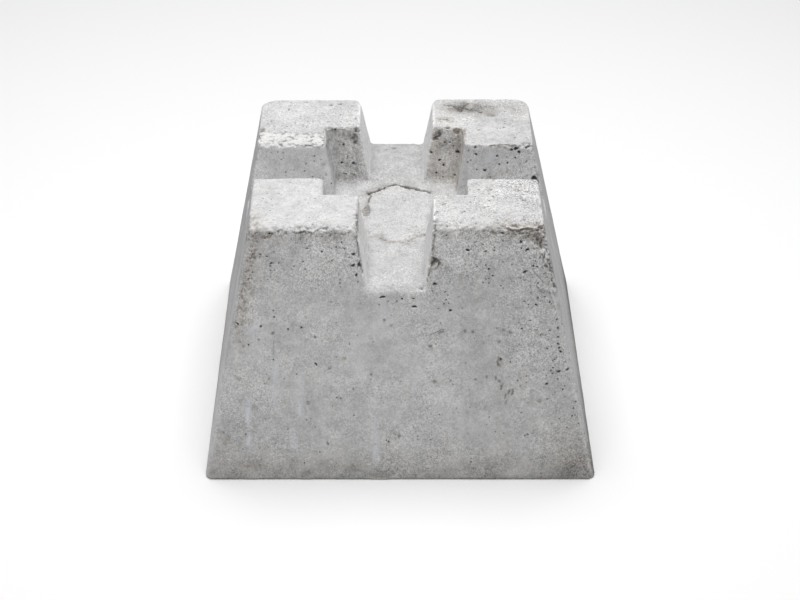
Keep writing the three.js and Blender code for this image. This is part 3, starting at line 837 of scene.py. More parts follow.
    # rough corners below, right and left
    cor = np.exp(-((e["corner"] / 2.8) ** 2)) * (y < -70)
    right, left = cor * (x > 0) * smooth(118, 142, z), cor * (x < 0) * smooth(120, 150, z)
    d -= right * (0.8 * smooth(-0.1, 0.5, noise(p, 3.0, 66)) + 0.5 * smooth(0.0, 0.5, noise(p, 1.7, 67)))
    pale = np.maximum(pale, right * smooth(0.1, 0.6, noise(p, 2.4, 68)) * 0.8)
    dark = np.maximum(dark, right * smooth(0.05, 0.4, noise(p, 2.0, 69)) * 0.82)
    brown = np.maximum(brown, right * 0.5 * smooth(-0.1, 0.4, noise(p, 5.0, 56)))
    d -= left * (0.35 * smooth(0.0, 0.5, noise(p, 2.6, 70)) + 0.2 * smooth(0.0, 0.5, noise(p, 1.5, 57)))
    wide = np.exp(-((np.maximum(e["corner"] - 1.0, 0) / 6.5) ** 2)) * smooth(-0.5, -0.8, normal[:, 1]) * (x < 0) * smooth(84, 130, z)
    speck = smooth(0.12, 0.5, noise(p, 1.5, 71) + 0.3 * noise(p, 7, 58)) * wide
    dark = np.maximum(dark, speck * 0.55)
    brown = np.maximum(brown, np.maximum(speck * 0.9, wide * 0.5))
    tone -= 0.05 * wide
    d -= 0.3 * speck

    # ---- edges of the back posts' front walls and of the slots ---------------
    lipz = np.exp(-((e["lip"] / 2.6) ** 2)) * (z > 176)
    on_br = np.exp(-((e["lip"] / (2.6 + 1.6 * smooth(60, 80, x))) ** 2)) * (z > 174) * smooth(50, 64, x) * (y > 15) * (y < 45)
    on_sock = lipz * (y > 40) * (y < 62) * (np.abs(x + 3) < 56)
    for m, s_ in ((on_br, 72), (on_sock, 76)):
        q = smooth(0.0, 0.45, noise(p, 2.3, s_) + 0.3 * noise(p, 8, s_ + 1))
        d -= m * 0.7 * q
        dark = np.maximum(dark, m * q * 0.68 * smooth(0.99, 0.75, nz))
        brown = np.maximum(brown, m * 0.6 * q)
        pale = np.maximum(pale, m * 0.6 * smooth(0.1, 0.5, noise(p, 2.7, s_ + 2)))
    # dirt down the front ends of the slot's side walls
    ends = np.exp(-((e["mouth"] / 2.7) ** 2)) * (y < -60) * (z > 146) * (np.abs(x + 3) < 34)
    q = smooth(-0.05, 0.4, noise(p * (1, 1, 0.6), 2.6, 79))
    d -= ends * 0.45 * q
    dark = np.maximum(dark, ends * q * (0.6 * (x < 0) + 0.5 * (x > 0)))
    pale = np.maximum(pale, 0.8 * ends * (x > 0) * smooth(0.15, 0.5, noise(p, 2.4, 80)))
    brown = np.maximum(brown, ends * 0.6 * q)
    lips = np.minimum(np.hypot(wallx, top), e["mouth"] + 99.0 * (z < 147) + 99.0 * (z < 174) * (x < -3))
    lips = np.exp(-((lips / 2.7) ** 2)) * smooth(-46, -52, y) * (np.abs(x + 3) < 36)
    fore = 0.25 + 0.75 * smooth(-66, -86, y)
    q = noise(p * (1, 1, 0.8), 3.9, 44) + 0.3 * noise(p, 1.9, 45)
    blob = smooth(0.0, 0.22, q)
    chip = smooth(0.02, 0.25, -q)
    d += lips * fore * (0.2 * chip - 1.3 * blob)
    dark = np.maximum(dark, lips * fore * blob * (0.5 + 0.4 * smooth(-0.2, 0.2, noise(p, 1.8, 34))))
    pale = np.maximum(pale, 0.36 * lips * fore * chip)
    brown = np.maximum(brown, 0.5 * lips * fore * blob)
    worn = np.exp(-(((wallx - 0.3) / 1.15) ** 2)) * smooth(176, 181, z) * smooth(-50, -62, y) * (x < -3)
    dark = np.maximum(dark, worn * (0.4 + 0.6 * fore) * (0.34 + 0.5 * smooth(-0.15, 0.3, noise(p, 2.6, 119))))
    slit = np.exp(-(((wallx - 0.6 + 0.35 * noise(p, 4, 30)) / 0.72) ** 2)) * (x < 0) * smooth(0.6, -0.2, np.abs(side) - 1.6) * smooth(151, 155, z) * smooth(180, 176, z) * (y < -90)
    slit *= smooth(-0.6, -0.1, noise(p, 5, 29))
    dark = np.maximum(dark, 0.95 * slit)
    d -= 1.1 * slit
    # crumbs lost from the right lip and mouth
    for i, (c, reach3) in enumerate(LIP_CRUMBS):
        w = smooth(1.1, 0.5, np.sqrt((((p - np.array(c)) / np.array(reach3)) ** 2).sum(1)) + 0.3 * noise(p, 2.4, 120 + i))
        d -= 1.1 * w
        dark = np.maximum(dark, 0.85 * w)
        brown = np.maximum(brown, 0.4 * w)

    # ---- spalls -----------------------------------------------------------
    bent = p + np.stack([0.9 * noise(p, 4.5, 81), 0.9 * noise(p, 4.5, 82), 0.9 * noise(p, 4.5, 83)], 1)
    for i, (c, reach3, depth) in enumerate(SPALLS):
        s = np.sqrt((((bent - np.array(c)) / np.array(reach3)) ** 2).sum(1))
        w = smooth(1.08, 0.62, s)
        d -= depth * w * (0.8 + 0.35 * noise(p, 2.6, 84 + i))
        if i in (0, 1, 3, 4, 5, 9, 10, 11):
            dark = np.maximum(dark, w * ((0.62 if i in (3, 4) else 0.35) + (0.38 if i in (3, 4) else 0.5) * smooth(-0.1, 0.5, noise(p, 2.4, 90 + i))))
            brown = np.maximum(brown, w * 0.8)
        if i in (10, 11):
            dark = np.maximum(dark, w)
        if i == 9:
            brown = np.maximum(brown, 1.8 * w)
            dark = np.maximum(dark, 0.56 * w)
        if i == 2:
            pale = np.maximum(pale, w)
        # painted shade in these chips' crevices, and painted highlights on their lit bits
        if i in (6, 7, 8):
            dark = np.maximum(dark, w * (0.25 + 0.6 * smooth(-0.2, 0.35, noise(p, 2.6, 90 + i))))
            pale = np.maximum(pale, w * smooth(0.1, 0.5, noise(p, 3.0, 95 + i)) * 0.6)
    # the curl of mortar left in the gouge
    along = (x - 23.4) * 0.80 + (z - 157.6) * 0.60
    across = -(x - 23.4) * 0.60 + (z - 157.6) * 0.80 - 0.10 * along**2
    s = np.hypot(along / 3.8, across / 1.35) + 9.0 * (np.abs(y + 107.5) > 6)
    curl = smooth(1.15, 0.55, s)
    d += 2.0 * curl
    pale = np.maximum(pale, 0.7 * curl)
    dark = dark * (1 - curl)

    # ---- floor: patch and crack ---------------------------------------------
    fx = x + 0.7 * noise(p, 6, 101) + 0.3 * noise(p, 2.4, 102)
    fy = y + 0.9 * noise(p, 6, 103) + 0.4 * noise(p, 2.4, 104)
    inside = in_patch(fx, fy)
    ins = smooth(0.9, -0.5, inside) * on_floor_
    d += 0.45 * ins + on_floor_ * 0.10 * fbm(p, 18, 3, 105)
    tone += 0.085 * ins
    frontrim = np.exp(-((inside / 1.25) ** 2)) * smooth(-25, -33, y) * on_floor_ * smooth(-0.35, 0.25, noise(p, 4, 106))
    d -= 0.8 * frontrim
    dark = np.maximum(dark, frontrim * (0.26 + 0.5 * smooth(-0.05, 0.4, noise(p, 2.2, 117))))
    spatter = smooth(7, 1, np.abs(inside)) * smooth(-22, -32, y) * on_floor_ * smooth(0.15, 0.45, noise(p, 2.4, 118))
    d -= 0.3 * spatter
    dark = np.maximum(dark, 0.3 * spatter)
    brown = np.maximum(brown, 0.5 * spatter)
    brown = np.maximum(brown, 0.8 * frontrim)
    # the crack: a groove, and its dark is painted shadow where the floor steps down behind the patch
    line = to_line(x + 0.6 * noise(p, 3.2, 107), y + 0.9 * noise(p, 3.0, 108) + 0.5 * noise(p, 1.5, 112), CRACK)
    line -= 0.78 + 0.4 * noise(p, 2.6, 113) + 0.35 * smooth(-2, 6, x) * smooth(16, 11, x)
    cr = smooth(0.45, -0.15, line) * on_floor_
    d -= 1.7 * cr
    dark = np.maximum(dark, cr)
    chipped = smooth(2.6, 0.4, line) * on_floor_ * smooth(0.0, 0.4, noise(p, 2.6, 114)) * (1 - cr) * smooth(0, 1.2, y - 0.0)
    d -= 0.45 * chipped
    dark = np.maximum(dark, 0.22 * chipped)
    brown = np.maximum(brown, 0.6 * chipped)
    # broken ground left of the patch: a squiggle, then a brown spot
    left_line = to_line(x + 0.8 * noise(p, 2.6, 115), y + 0.8 * noise(p, 2.6, 116),
                        [(-23.2, 28.6, 0.5), (-23.0, 25.5, 0.7), (-21.0, 24.0, 0.3), (-22.8, 20.5, 0.5), (-23.8, 13.0, 0.2)])
    w = smooth(0.8, -0.2, left_line) * on_floor_
    d -= 0.8 * w
    dark = np.maximum(dark, 0.78 * w)
    brown = np.maximum(brown, smooth(5, 0, left_line) * on_floor_ * 0.35)
    shade = smooth(7, 0, line) * smooth(-8, -14, x) * on_floor_ * (y > 26)
    brown = np.maximum(brown, 0.45 * shade * smooth(-0.3, 0.4, noise(p, 4, 109)))
    strokes = shade * smooth(0.1, 0.4, noise(p * (0.7, 1.6, 1), 2.8, 46)) * (1 - cr)
    d -= 0.35 * strokes
    dark = np.maximum(dark, 0.42 * strokes)
    spot = in_patch(x + 0.5 * noise(p, 3, 31), y + 0.6 * noise(p, 3, 32), SPOT)
    w = smooth(0.5, -0.4, spot) * on_floor_
    d -= 0.9 * w
    dark = np.maximum(dark, w * (0.26 + 0.34 * smooth(-0.1, 0.3, noise(p, 2.3, 97))))
    dark = np.maximum(dark, 0.6 * np.exp(-((spot / 0.7) ** 2)) * on_floor_ * smooth(-26, -23.5, x))
    brown = np.maximum(brown, 0.5 * w)
    side_line = np.exp(-(((x + 24.7 + 0.3 * noise(p, 3, 110)) / 0.45) ** 2)) * bump(y, -18, 10, 3) * on_floor_
    d -= 0.35 * side_line * smooth(-0.2, 0.3, noise(p, 5, 111))
    dark = np.maximum(dark, 0.35 * side_line * smooth(-0.2, 0.3, noise(p, 5, 111)))

    # ---- scratches ------------------------------------------------------------
    for x0, z0, x1, z1 in SCRATCHES:
        s = to_line(x + 0.25 * noise(p, 3, 121), z + 0.25 * noise(p, 3, 122), [(x0, z0, 0.12), (x1, z1, 0.12)])
        w = smooth(0.5, 0.05, s) * front
        d -= 0.25 * w
        dark = np.maximum(dark, (0.5 if x0 > 0 else 0.3) * w)

    # ---- tones ----------------------------------------------------------------
    tone += front * (0.05 * noise(p, 42, 131) + 0.04 * noise(p, 17, 132) + 0.06 * noise(p, 7, 133) + 0.01)
    tone -= front * 0.03 * smooth(60, 100, np.abs(x))
    tone -= front * 0.15 * smooth(88, 122, x) * smooth(56, 8, z)
    # painted light: the front's lowest few millimetres lightened against the shade where it meets the floor
    tone += front * 0.16 * smooth(2.6, 0.6, z)
    brown = np.maximum(brown, front * 0.5 * smooth(88, 122, x) * smooth(56, 8, z))
    tone -= front * 0.17 * smooth(28, 2, z + 6 * noise(p, 18, 134))
    tone -= front * 0.10 * smooth(85, 30, z + 10 * noise(p, 30, 137))
    tone -= front * (0.05 * smooth(110, 165, z) + 0.10 * smooth(162, 176, z) + 0.07 * smooth(-20, 60, x) * smooth(40, 90, z))
    tone += front * 0.05 * bump(x, 84, 9, 8) * smooth(16, 10, z) * smooth(2, 5, z)
    brown = np.maximum(brown, front * 0.42 * smooth(34, 4, z + 9 * noise(p, 22, 135)) * (0.6 + 0.4 * noise(p, 9, 136)))
    tone -= front * 0.05 * smooth(100, 125, np.abs(x)) * smooth(120, 60, z)
    for bx, z0, z1, w, s in BLOOM:
        wob = x - bx - 0.9 * noise(p * (0.2, 1, 1), 9, 141)
        wide_ = w * (0.75 + 0.5 * noise(p * (0.01, 0.01, 1), 13, 143 + int(bx) % 7))
        m = np.exp(-((wob / wide_) ** 2)) * smooth(z0 - 7, z0 + 6, z) * smooth(z1 + 7, z1 - 6, z) * front
        bloom_and_blue_cast = np.maximum(bloom_and_blue_cast, s * m * np.clip(0.7 + 0.8 * noise(p * (1, 1, 0.5), 4.5, 142), 0, 1))
    m = to_line(x, z, [(-107.0, 110.0, 1.0), (-99.3, 115.9, 1.3)])
    bloom_and_blue_cast = np.maximum(bloom_and_blue_cast, smooth(1.4, -0.4, m) * front)
    # socket's back wall, darkest beside the chips, with brown runs on the right
    back_wall = smooth(2.5, 0.8, np.abs(sock)) * (y > 30) * (np.abs(x + 3) < 54) * (z > 143)
    tone -= back_wall * (0.08 * (x < 0) - 0.04 * (x > 0) + 0.12 * noise(p, 12, 151) + 0.10 * noise(p, 5, 152))
    brown = np.maximum(brown, back_wall * smooth(10, 26, x) * (0.5 + 0.4 * noise(p * (1, 1, 0.45), 6, 153)))
    grime = smooth(0.1, 0.5, noise(p, 2.1, 154) + 0.45 * noise(p, 9, 158)) * (0.55 + 0.45 * smooth(160, 182, z))
    dark = np.maximum(dark, back_wall * 0.42 * grime)
    brown = np.maximum(brown, back_wall * 0.5 * grime)
    edge_run = np.exp(-(((x - 41.5 - 0.1 * (z - 142)) / 3.0) ** 2)) * back_wall * smooth(-0.3, 0.3, noise(p, 4, 159))
    brown = np.maximum(brown, edge_run)
    tone -= 0.16 * edge_run
    cross_back = smooth(2.0, 0.8, np.abs(wally)) * (y > 10) * (z > 143) * (np.abs(x) > 50)
    # painted light: the back posts' walls facing the slot are lightened, the left one more
    tone += cross_back * (0.10 + 0.08 * (x < 0) + 0.08 * noise(p, 14, 155) + 0.07 * noise(p, 5, 156))
    tone -= cross_back * 0.08 * smooth(60, 80, x) * smooth(166, 180, z)
    s = np.hypot((x - 66.6) / 4.5, (z - 173) / 5.5)
    bloom_and_blue_cast = np.maximum(bloom_and_blue_cast, 0.8 * smooth(1.1, 0.3, s + 0.3 * noise(p, 4, 157)) * cross_back)
    # grey bloom-free cement on the back right post's top
    st = flat_top * smooth(30, 42, x) * smooth(70, 84, y)
    veins = smooth(0.05, 0.5, noise(p * (0.8, 1.4, 1), 15, 161) + 0.5 * noise(p, 6, 162) + 0.25)
    blot = np.exp(-(((x - 47) / 13) ** 2 + ((y - 88) / 9) ** 2)) + 0.45 * np.exp(-(((x - 78) / 24) ** 2 + ((y - 88) / 9) ** 2))
    stain = np.clip(blot * (0.55 + 0.6 * veins), 0, 1) * flat_top
    tone -= 0.47 * stain
    brown = np.maximum(brown, 0.55 * stain)
    crack2 = np.full(n, 9.0)
    for points in VEINS:
        crack2 = np.minimum(crack2, to_line(x + 1.3 * noise(p, 4, 164), y + 1.3 * noise(p, 4, 165), points))
    w = smooth(0.8, -0.2, crack2) * flat_top * smooth(-0.35, 0.05, noise(p, 5, 168))
    d -= 0.9 * w
    dark = np.maximum(dark, 0.72 * w)
    brown = np.maximum(brown, smooth(4.5, 0.5, crack2) * flat_top * 0.6)
    tone -= 0.12 * smooth(4.5, 0.5, crack2) * flat_top
    tone += flat_top * (0.05 * noise(p, 26, 171) + 0.05 * noise(p, 9, 172) + 0.05 * noise(p, 4, 176))
    tone -= flat_top * (0.08 * (x > 0) * (y < 0) + 0.05 * (y > 0) * (x < 0) + 0.09 * (y > 0) * (x > 0))
    # the floors of the slots and socket darkened, partly dirt and partly painted shade from the walls, most towards the
    # back
    tone += on_floor_ * (0.04 * noise(p, 30, 173) + 0.025 * noise(p, 9, 174) - 0.185 - 0.09 * smooth(38, 50, y))
    # painted light: the slot's side walls lightened to look more lit
    aisle_painted_light = smooth(2.0, 0.6, np.abs(wallx)) * (z > 144) * (np.abs(y) > 46)
    tone += aisle_painted_light * (0.34 + 0.05 * (x < -3) + 0.05 * noise(p, 9, 175))
    # sides and back: the same cast skin, with a few runs and blotches of their own, and painted shade on the sides
    other = (1 - front) * (np.abs(side) < 2) * (nz < 0.6)
    rearwards = smooth(-110, 70, y) * (x < 0) + 0.5 * smooth(-30, 110, y) * smooth(175, 110, z) * (x > 0)
    # painted shade: the left and right sides darker than the front, more towards the back, and the right side most near
    # its foot
    tone -= other * smooth(0.6, 0.9, np.abs(normal[:, 0])) * (0.11 + 0.20 * rearwards + 0.06 * (x < 0) * smooth(70, 110, z) + 0.44 * smooth(66, 3, z + 10 * noise(p, 26, 28)) * (x > 0))
    # painted light: a pale blue cast on the left side
    bloom_and_blue_cast = np.maximum(bloom_and_blue_cast, other * 0.30 * smooth(-0.6, -0.9, normal[:, 0]) * smooth(-0.5, 0.3, noise(p * (1, 1, 0.4), 34, 188)))
    tone += other * (0.05 * noise(p, 46, 181) + 0.04 * noise(p, 16, 182) - 0.10 * smooth(26, 2, z + 6 * noise(p, 20, 183)))
    brown = np.maximum(brown, other * 0.35 * smooth(34, 4, z + 9 * noise(p, 22, 184)))
    run = smooth(0.32, 0.7, noise(p * (1, 1, 0.13), 9, 185)) * smooth(0.0, 0.4, noise(p, 60, 186) + 0.1)
    bloom_and_blue_cast = np.maximum(bloom_and_blue_cast, 0.6 * run * other)
    tone -= other * 0.04 * smooth(0.1, 0.5, noise(p, 9, 187))

    for u, v, r, *rest in STAINS_FRONT:
        stretch, turn = rest if rest else (1.0, 0.0)
        near_it = np.flatnonzero((np.abs(x - u) < r * stretch * 1.6 + 1) & (np.abs(z - v) < r * stretch * 1.6 + 1) & (front > 0.1))
        if not len(near_it):
            continue
        a = math.radians(turn)
        q = p[near_it]
        du, dv = q[:, 0] - u, (q[:, 2] - v) / SIDE_COS
        a1, b1 = (du * math.cos(a) + dv * math.sin(a)) / stretch, -du * math.sin(a) + dv * math.cos(a)
        s = np.hypot(a1, b1) / r + 0.35 * noise(q, 2.4, 191)
        w = smooth(1.2, 0.5, s)
        big = r > 2
        dark[near_it] = np.maximum(dark[near_it], w * (0.30 if big else 0.8 if stretch > 1.9 else 0.62) * (0.7 + 0.6 * noise(q, 1.6, 192)))
        brown[near_it] = np.maximum(brown[near_it], w * (0.5 if big else 0.75))
    # how closely each part is pocked: the front right post's top most of all
    pocks += flat_top * (x > 20) * (y < 0) * (0.30 + 0.35 * smooth(-80, -35, y) + 0.3 * smooth(60, 95, x) + 0.3 * noise(p, 14, 193))
    pocks += flat_top * (0.05 * (x < 0) + 0.12 * (x > 0) * (y > 0))
    pocks += front * (0.04 + 0.30 * smooth(120, 165, z) + 0.28 * smooth(50, 110, x) * smooth(20, 75, z) + 0.12 * smooth(40, 8, z) * smooth(0, 60, x) + 0.25 * noise(p, 20, 194))
    pocks -= 0.14 * on_floor_
    pocks += 0.10 * other
    pocks += back_wall * 0.35 + cross_back * (0.12 + 0.22 * (x > 0))
    return d, dict(dark=dark, pale=pale, brown=brown, bloom_and_blue_cast=bloom_and_blue_cast, tone=tone, pocks=np.clip(pocks, 0, 1))


def press_holes(p, normal, d, masks):
    """Air holes: round pits with steep walls and a worn rim, their insides darkened with painted shade."""
    tree = kdtree.KDTree(len(p))
    for i, c in enumerate(p):
        tree.insert(c, i)
    tree.balance()
    dark = masks["dark"]
    for c, (a, b), r, stretch, turn, depth in HOLES:
        found = tree.find_range(c, r * stretch * 1.5 + 0.5)
        if not found:
            continue
        idx = np.array([f[1] for f in found])
        q = p[idx] - c
        u, v = q @ a, q @ b
        t = math.radians(turn)
        along, across = (u * math.cos(t) + v * math.sin(t)) / stretch, -u * math.sin(t) + v * math.cos(t)
        ang = np.arctan2(across, along)
        wob = 1 + 0.10 * np.sin(3 * ang + c[0] * 1.7) + 0.07 * np.sin(5 * ang + c[2] + c[1])
        s = np.hypot(along, across) / (r * wob)
        w = smooth(1.15, 0.55, s)
        d[idx] -= depth * w
        big = min(1.0, r / 0.75)
        # painted shade: darkens each hole's inside
        dark[idx] = np.maximum(dark[idx], smooth(1.08, 0.62, s) * (0.45 + 0.5 * big))


normal = gradient(verts)
normal /= np.linalg.norm(normal, axis=1, keepdims=True)
under = smooth(-0.6, -0.95, normal[:, 2])
height, masks = relief(verts, normal)
press_holes(verts, normal, height, masks)
height *= 1 - under
shaped = verts + normal * height[:, None]
lo, hi = (np.array(b) * 1000 for b in CAD_BOX)
shaped = np.clip(shaped, lo + 0.01, hi - 0.01)
shaped[verts[:, 2] < 0.02, 2] = lo[2] + 0.01

# ---------------------------------------------------------------------------
# The piece
# ---------------------------------------------------------------------------
mesh = bpy.data.meshes.new("cast_block")
mesh.vertices.add(len(shaped))
mesh.vertices.foreach_set("co", (shaped / 1000).astype(np.float32).ravel())
mesh.loops.add(len(tris) * 3)
mesh.loops.foreach_set("vertex_index", tris.astype(np.int32).ravel())
mesh.polygons.add(len(tris))
mesh.polygons.foreach_set("loop_start", (np.arange(len(tris)) * 3).astype(np.int32))
mesh.polygons.foreach_set("loop_total", np.full(len(tris), 3, np.int32))
mesh.polygons.foreach_set("use_smooth", np.ones(len(tris), bool))
mesh.update()
mesh.validate()
for name, values in masks.items():
    layer = mesh.attributes.new(name, "FLOAT", "POINT")
    layer.data.foreach_set("value", values.astype(np.float32))
block = bpy.data.objects.new("cast_block", mesh)
bpy.context.scene.collection.objects.link(block)


# ---------------------------------------------------------------------------
# Concrete
# ---------------------------------------------------------------------------
def concrete():
    mat = bpy.data.materials.new("cast_concrete")
    mat.use_nodes = True
    nt = mat.node_tree
    nodes, links = nt.nodes, nt.links
    shader = nodes["Principled BSDF"]
    coords = nodes.new("ShaderNodeTexCoord").outputs["Object"]

    def attribute(name):
        a = nodes.new("ShaderNodeAttribute")
        a.attribute_type = "GEOMETRY"
        a.attribute_name = name
        return a.outputs["Fac"]

    def grain(scale, detail=3.0, rough=0.55, stretch=None, kind="noise", distortion=0.0):
        source = coords
        if stretch:
            m = nodes.new("ShaderNodeMapping")
            m.inputs["Scale"].default_value = stretch
            links.new(coords, m.inputs["Vector"])
            source = m.outputs["Vector"]
        if kind == "noise":
            t = nodes.new("ShaderNodeTexNoise")
            t.inputs["Detail"].default_value = detail
            t.inputs["Roughness"].default_value = rough
            t.inputs["Distortion"].default_value = distortion
        else:
            t = nodes.new("ShaderNodeTexVoronoi")
        t.inputs["Scale"].default_value = scale
        links.new(source, t.inputs["Vector"])
        return t

    def math_(op, a, b=None, c=None, clamp=False):
        m = nodes.new("ShaderNodeMath")
        m.operation, m.use_clamp = op, clamp
        for i, v in enumerate((a, b, c)):
            if v is None:
                continue
            if isinstance(v, (int, float)):
                m.inputs[i].default_value = v
            else:
                links.new(v, m.inputs[i])
        return m.outputs[0]

    def ranged(value, a, b, to_a, to_b):
        m = nodes.new("ShaderNodeMapRange")
        m.interpolation_type = "SMOOTHSTEP"
        for i, v in zip(("From Min", "From Max", "To Min", "To Max"), (a, b, to_a, to_b)):
            m.inputs[i].default_value = v
        links.new(value, m.inputs["Value"])
        return m.outputs["Result"]

    def mix(fac, a, b, kind="MIX"):
        m = nodes.new("ShaderNodeMix")
        m.data_type, m.blend_type = "RGBA", kind
        m.clamp_factor = True
        sockets = [s for s in m.inputs if s.enabled]
        for s, v in zip(sockets, (fac, a, b)):
            if isinstance(v, (int, float)):
                s.default_value = v
            elif isinstance(v, tuple):
                s.default_value = v
            else:
                links.new(v, s)
        return [o for o in m.outputs if o.enabled][0]

    fine = grain(620, 3.0, 0.65).outputs["Fac"]
    finest = grain(1250, 1.0, 0.6).outputs["Fac"]
    small = grain(300, 3.0, 0.6).outputs["Fac"]
    mid = grain(85, 4.0, 0.6).outputs["Fac"]
    broad = grain(24, 3.0, 0.5).outputs["Fac"]
    spots_b = grain(120, kind="voronoi")

    # brightness: 1 is the plain cast skin
    # tone carries the skin's blotches and stains, and also painted light and painted shade
    value = math_("ADD", 1.0, attribute("tone"))
    value = math_("ADD", value, ranged(broad, 0.3, 0.7, -0.035, 0.035))
    value = math_("ADD", value, ranged(mid, 0.3, 0.7, -0.075, 0.075))
    value = math_("ADD", value, ranged(small, 0.28, 0.72, -0.07, 0.07))
    pock = attribute("pocks")
    patchy = math_("MULTIPLY", ranged(broad, 0.38, 0.62, 0.6, 1.25), math_("MULTIPLY_ADD", pock, 0.9, 0.6))
    value = math_("MULTIPLY_ADD", ranged(fine, 0.3, 0.7, -0.16, 0.16), patchy, value)
    value = math_("MULTIPLY_ADD", ranged(finest, 0.3, 0.7, -0.2, 0.2), patchy, value)
    base = nodes.new("ShaderNodeVectorMath")
    base.operation = "SCALE"
    tint = mix(ranged(mid, 0.35, 0.65, 0.0, 1.0), (0.598, 0.597, 0.600, 1), (0.605, 0.601, 0.599, 1))
    links.new(tint, base.inputs[0])
    links.new(value, base.inputs["Scale"])
    colour = base.outputs["Vector"]
    # brown: iron and dirt in the cement
    colour = mix(math_("MULTIPLY", attribute("brown"), 0.75, clamp=True), colour, mix(1.0, colour, (0.84, 0.765, 0.66, 1), "MULTIPLY"))
    # smudges of dirt, a few millimetres across
    smudge = ranged(grain(150, 4.0, 0.62, kind="noise", distortion=0.4).outputs["Fac"], 0.575, 0.70, 0.0, 1.0)
    colour = mix(math_("MULTIPLY", smudge, math_("MULTIPLY_ADD", pock, 0.5, 0.12)), colour, (0.27, 0.245, 0.21, 1))
    flecks = ranged(grain(290, 3.0, 0.6, kind="noise", distortion=0.6).outputs["Fac"], 0.59, 0.67, 0.0, 1.0)
    colour = mix(math_("MULTIPLY", flecks, math_("MULTIPLY_ADD", pock, 0.40, 0.18)), colour, (0.24, 0.215, 0.185, 1))
    # pinholes as dots of painted shade, more of them where the skin is pocked, and paler sand

    def pinholes(scale, size, seed_scale, least):
        cells = grain(scale, kind="voronoi", stretch=(1.0, 1.03, 0.97))
        chance = nodes.new("ShaderNodeSeparateColor")
        links.new(cells.outputs["Color"], chance.inputs[0])
        here = math_("LESS_THAN", chance.outputs[0], math_("MULTIPLY", pock, least))
        reach = math_("MULTIPLY_ADD", chance.outputs[1], size * 0.7, size * 0.5)
        inside = math_("DIVIDE", cells.outputs["Distance"], reach)
        return math_("MULTIPLY", ranged(inside, 0.6, 1.1, 1.0, 0.0), math_("MULTIPLY", here, ranged(chance.outputs[2], 0.0, 1.0, 0.35, 1.0)))

    dot = math_("MAXIMUM", pinholes(330, 0.25, 1, 0.62), pinholes(200, 0.22, 2, 0.26))
    # painted shade: the pinholes' dark dots
    colour = mix(math_("MULTIPLY", dot, 0.82), colour, (0.14, 0.125, 0.105, 1))
    sand = math_("MULTIPLY", ranged(spots_b.outputs["Distance"], 0.08, 0.16, 1.0, 0.0), ranged(fine, 0.50, 0.60, 0.0, 1.0))
    colour = mix(math_("MULTIPLY", sand, 0.30), colour, (0.80, 0.79, 0.77, 1))
    # bloom, and the pale blue cast painted as light on the left side: pale and slightly blue
    colour = mix(math_("MULTIPLY", attribute("bloom_and_blue_cast"), 0.75, clamp=True), colour, (0.70, 0.715, 0.755, 1))
    # pale and dark carry chips, wear and dirt, and also painted highlights and painted shade
    colour = mix(math_("MULTIPLY", attribute("pale"), 0.65, clamp=True), colour, (0.80, 0.795, 0.785, 1))
    colour = mix(math_("MULTIPLY", attribute("dark"), 0.93, clamp=True), colour, (0.055, 0.05, 0.045, 1))
    links.new(colour, shader.inputs["Base Color"])

    links.new(ranged(mid, 0.3, 0.7, 0.80, 0.95), shader.inputs["Roughness"])
    shader.inputs["Specular IOR Level"].default_value = 0.32

    relief_ = math_("ADD", math_("MULTIPLY", small, 0.6), math_("MULTIPLY", fine, 0.4))
    relief_ = math_("ADD", relief_, math_("MULTIPLY", dot, -0.5))
    b = nodes.new("ShaderNodeBump")
    b.inputs["Strength"].default_value = 0.8
    b.inputs["Distance"].default_value = 0.0007
    links.new(relief_, b.inputs["Height"])
    links.new(b.outputs["Normal"], shader.inputs["Normal"])
    return mat


mesh.materials.append(concrete())
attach(block, "root")
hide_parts("pier_block")

# ---------------------------------------------------------------------------
# Floor, light and camera
# ---------------------------------------------------------------------------
floor_mesh = bpy.data.meshes.new("floor")
s = 6.0
floor_mesh.from_pydata([(-s, -s, 0), (s, -s, 0), (s, s, 0), (-s, s, 0)], [], [(0, 1, 2, 3)])
floor = bpy.data.objects.new("floor", floor_mesh)
bpy.context.scene.collection.objects.link(floor)
paper = bpy.data.materials.new("pale_floor")
paper.use_nodes = True
ps = paper.node_tree.nodes["Principled BSDF"]
ps.inputs["Base Color"].default_value = (0.94, 0.94, 0.94, 1)
ps.inputs["Roughness"].default_value = 0.9
ps.inputs["Specular IOR Level"].default_value = 0.2
floor_mesh.materials.append(paper)


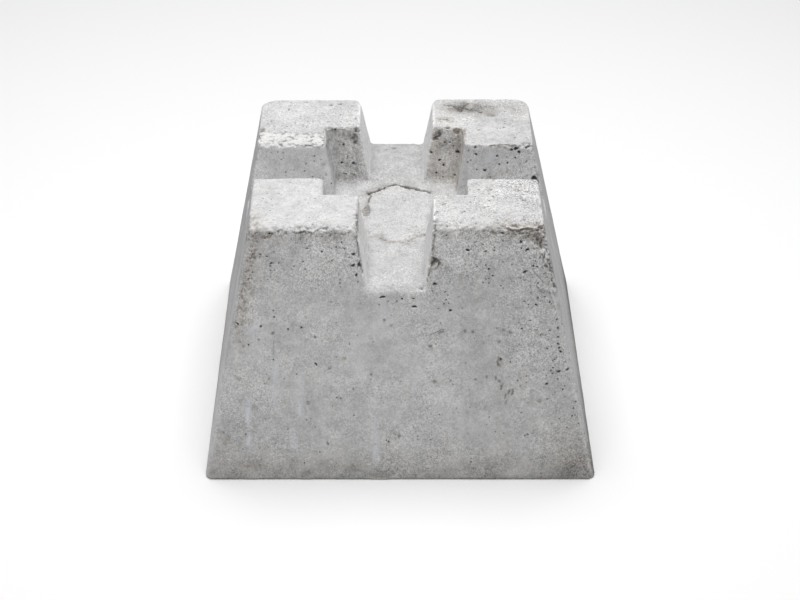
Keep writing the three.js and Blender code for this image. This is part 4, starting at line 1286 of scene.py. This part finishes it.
def area(name, at, target, size, power, colour=(1, 1, 1)):
    light = bpy.data.lights.new(name, "AREA")
    light.shape, light.size, light.size_y = "RECTANGLE", size[0], size[1]
    light.energy, light.color = power, colour
    ob = bpy.data.objects.new(name, light)
    bpy.context.scene.collection.objects.link(ob)
    from_to = [t - a for t, a in zip(target, at)]
    z = -np.array(from_to) / np.linalg.norm(from_to)
    up = np.array((0, 1.0, 0)) if abs(z[2]) > 0.9 else np.array((0, 0, 1.0))
    x = np.cross(up, z)
    x /= np.linalg.norm(x)
    y = np.cross(z, x)
    ob.matrix_world = Matrix([(x[0], y[0], z[0], at[0]), (x[1], y[1], z[1], at[1]), (x[2], y[2], z[2], at[2]), (0, 0, 0, 1)])
    return ob


area("overhead", (-0.02, 0.08, 1.6), (0, 0, 0.1), (1.1, 1.5), 26)
area("front_fill", (-0.3, -2.4, 1.0), (0, 0, 0.1), (1.6, 1.0), 1.0)

world = bpy.data.worlds.new("studio")
bpy.context.scene.world = world
world.use_nodes = True
world.node_tree.nodes["Background"].inputs["Color"].default_value = (1.0, 1.0, 1.0, 1)
world.node_tree.nodes["Background"].inputs["Strength"].default_value = 0.28

# The photograph's camera: its place and turn, found from the block's edges
CAM_AT = (-0.010665, -1.304848, 0.864010)
CAM_X = (0.99997431, -0.00599868, 0.00392352)
CAM_UP = (-0.00021508, 0.52201974, 0.85293338)
CAM_LOOK = (0.00716463, 0.85291231, -0.52200504)
camera = bpy.data.cameras.new("camera")
camera.sensor_width = 36
camera.lens = 90.947
camera.clip_start, camera.clip_end = 0.05, 50
cam = bpy.data.objects.new("camera", camera)
cam.matrix_world = Matrix(
    [
        (CAM_X[0], CAM_UP[0], -CAM_LOOK[0], CAM_AT[0]),
        (CAM_X[1], CAM_UP[1], -CAM_LOOK[1], CAM_AT[1]),
        (CAM_X[2], CAM_UP[2], -CAM_LOOK[2], CAM_AT[2]),
        (0, 0, 0, 1),
    ]
)
bpy.context.scene.collection.objects.link(cam)
bpy.context.scene.camera = cam
bpy.context.scene.view_settings.view_transform = "Standard"
bpy.context.scene.view_settings.look = "None"
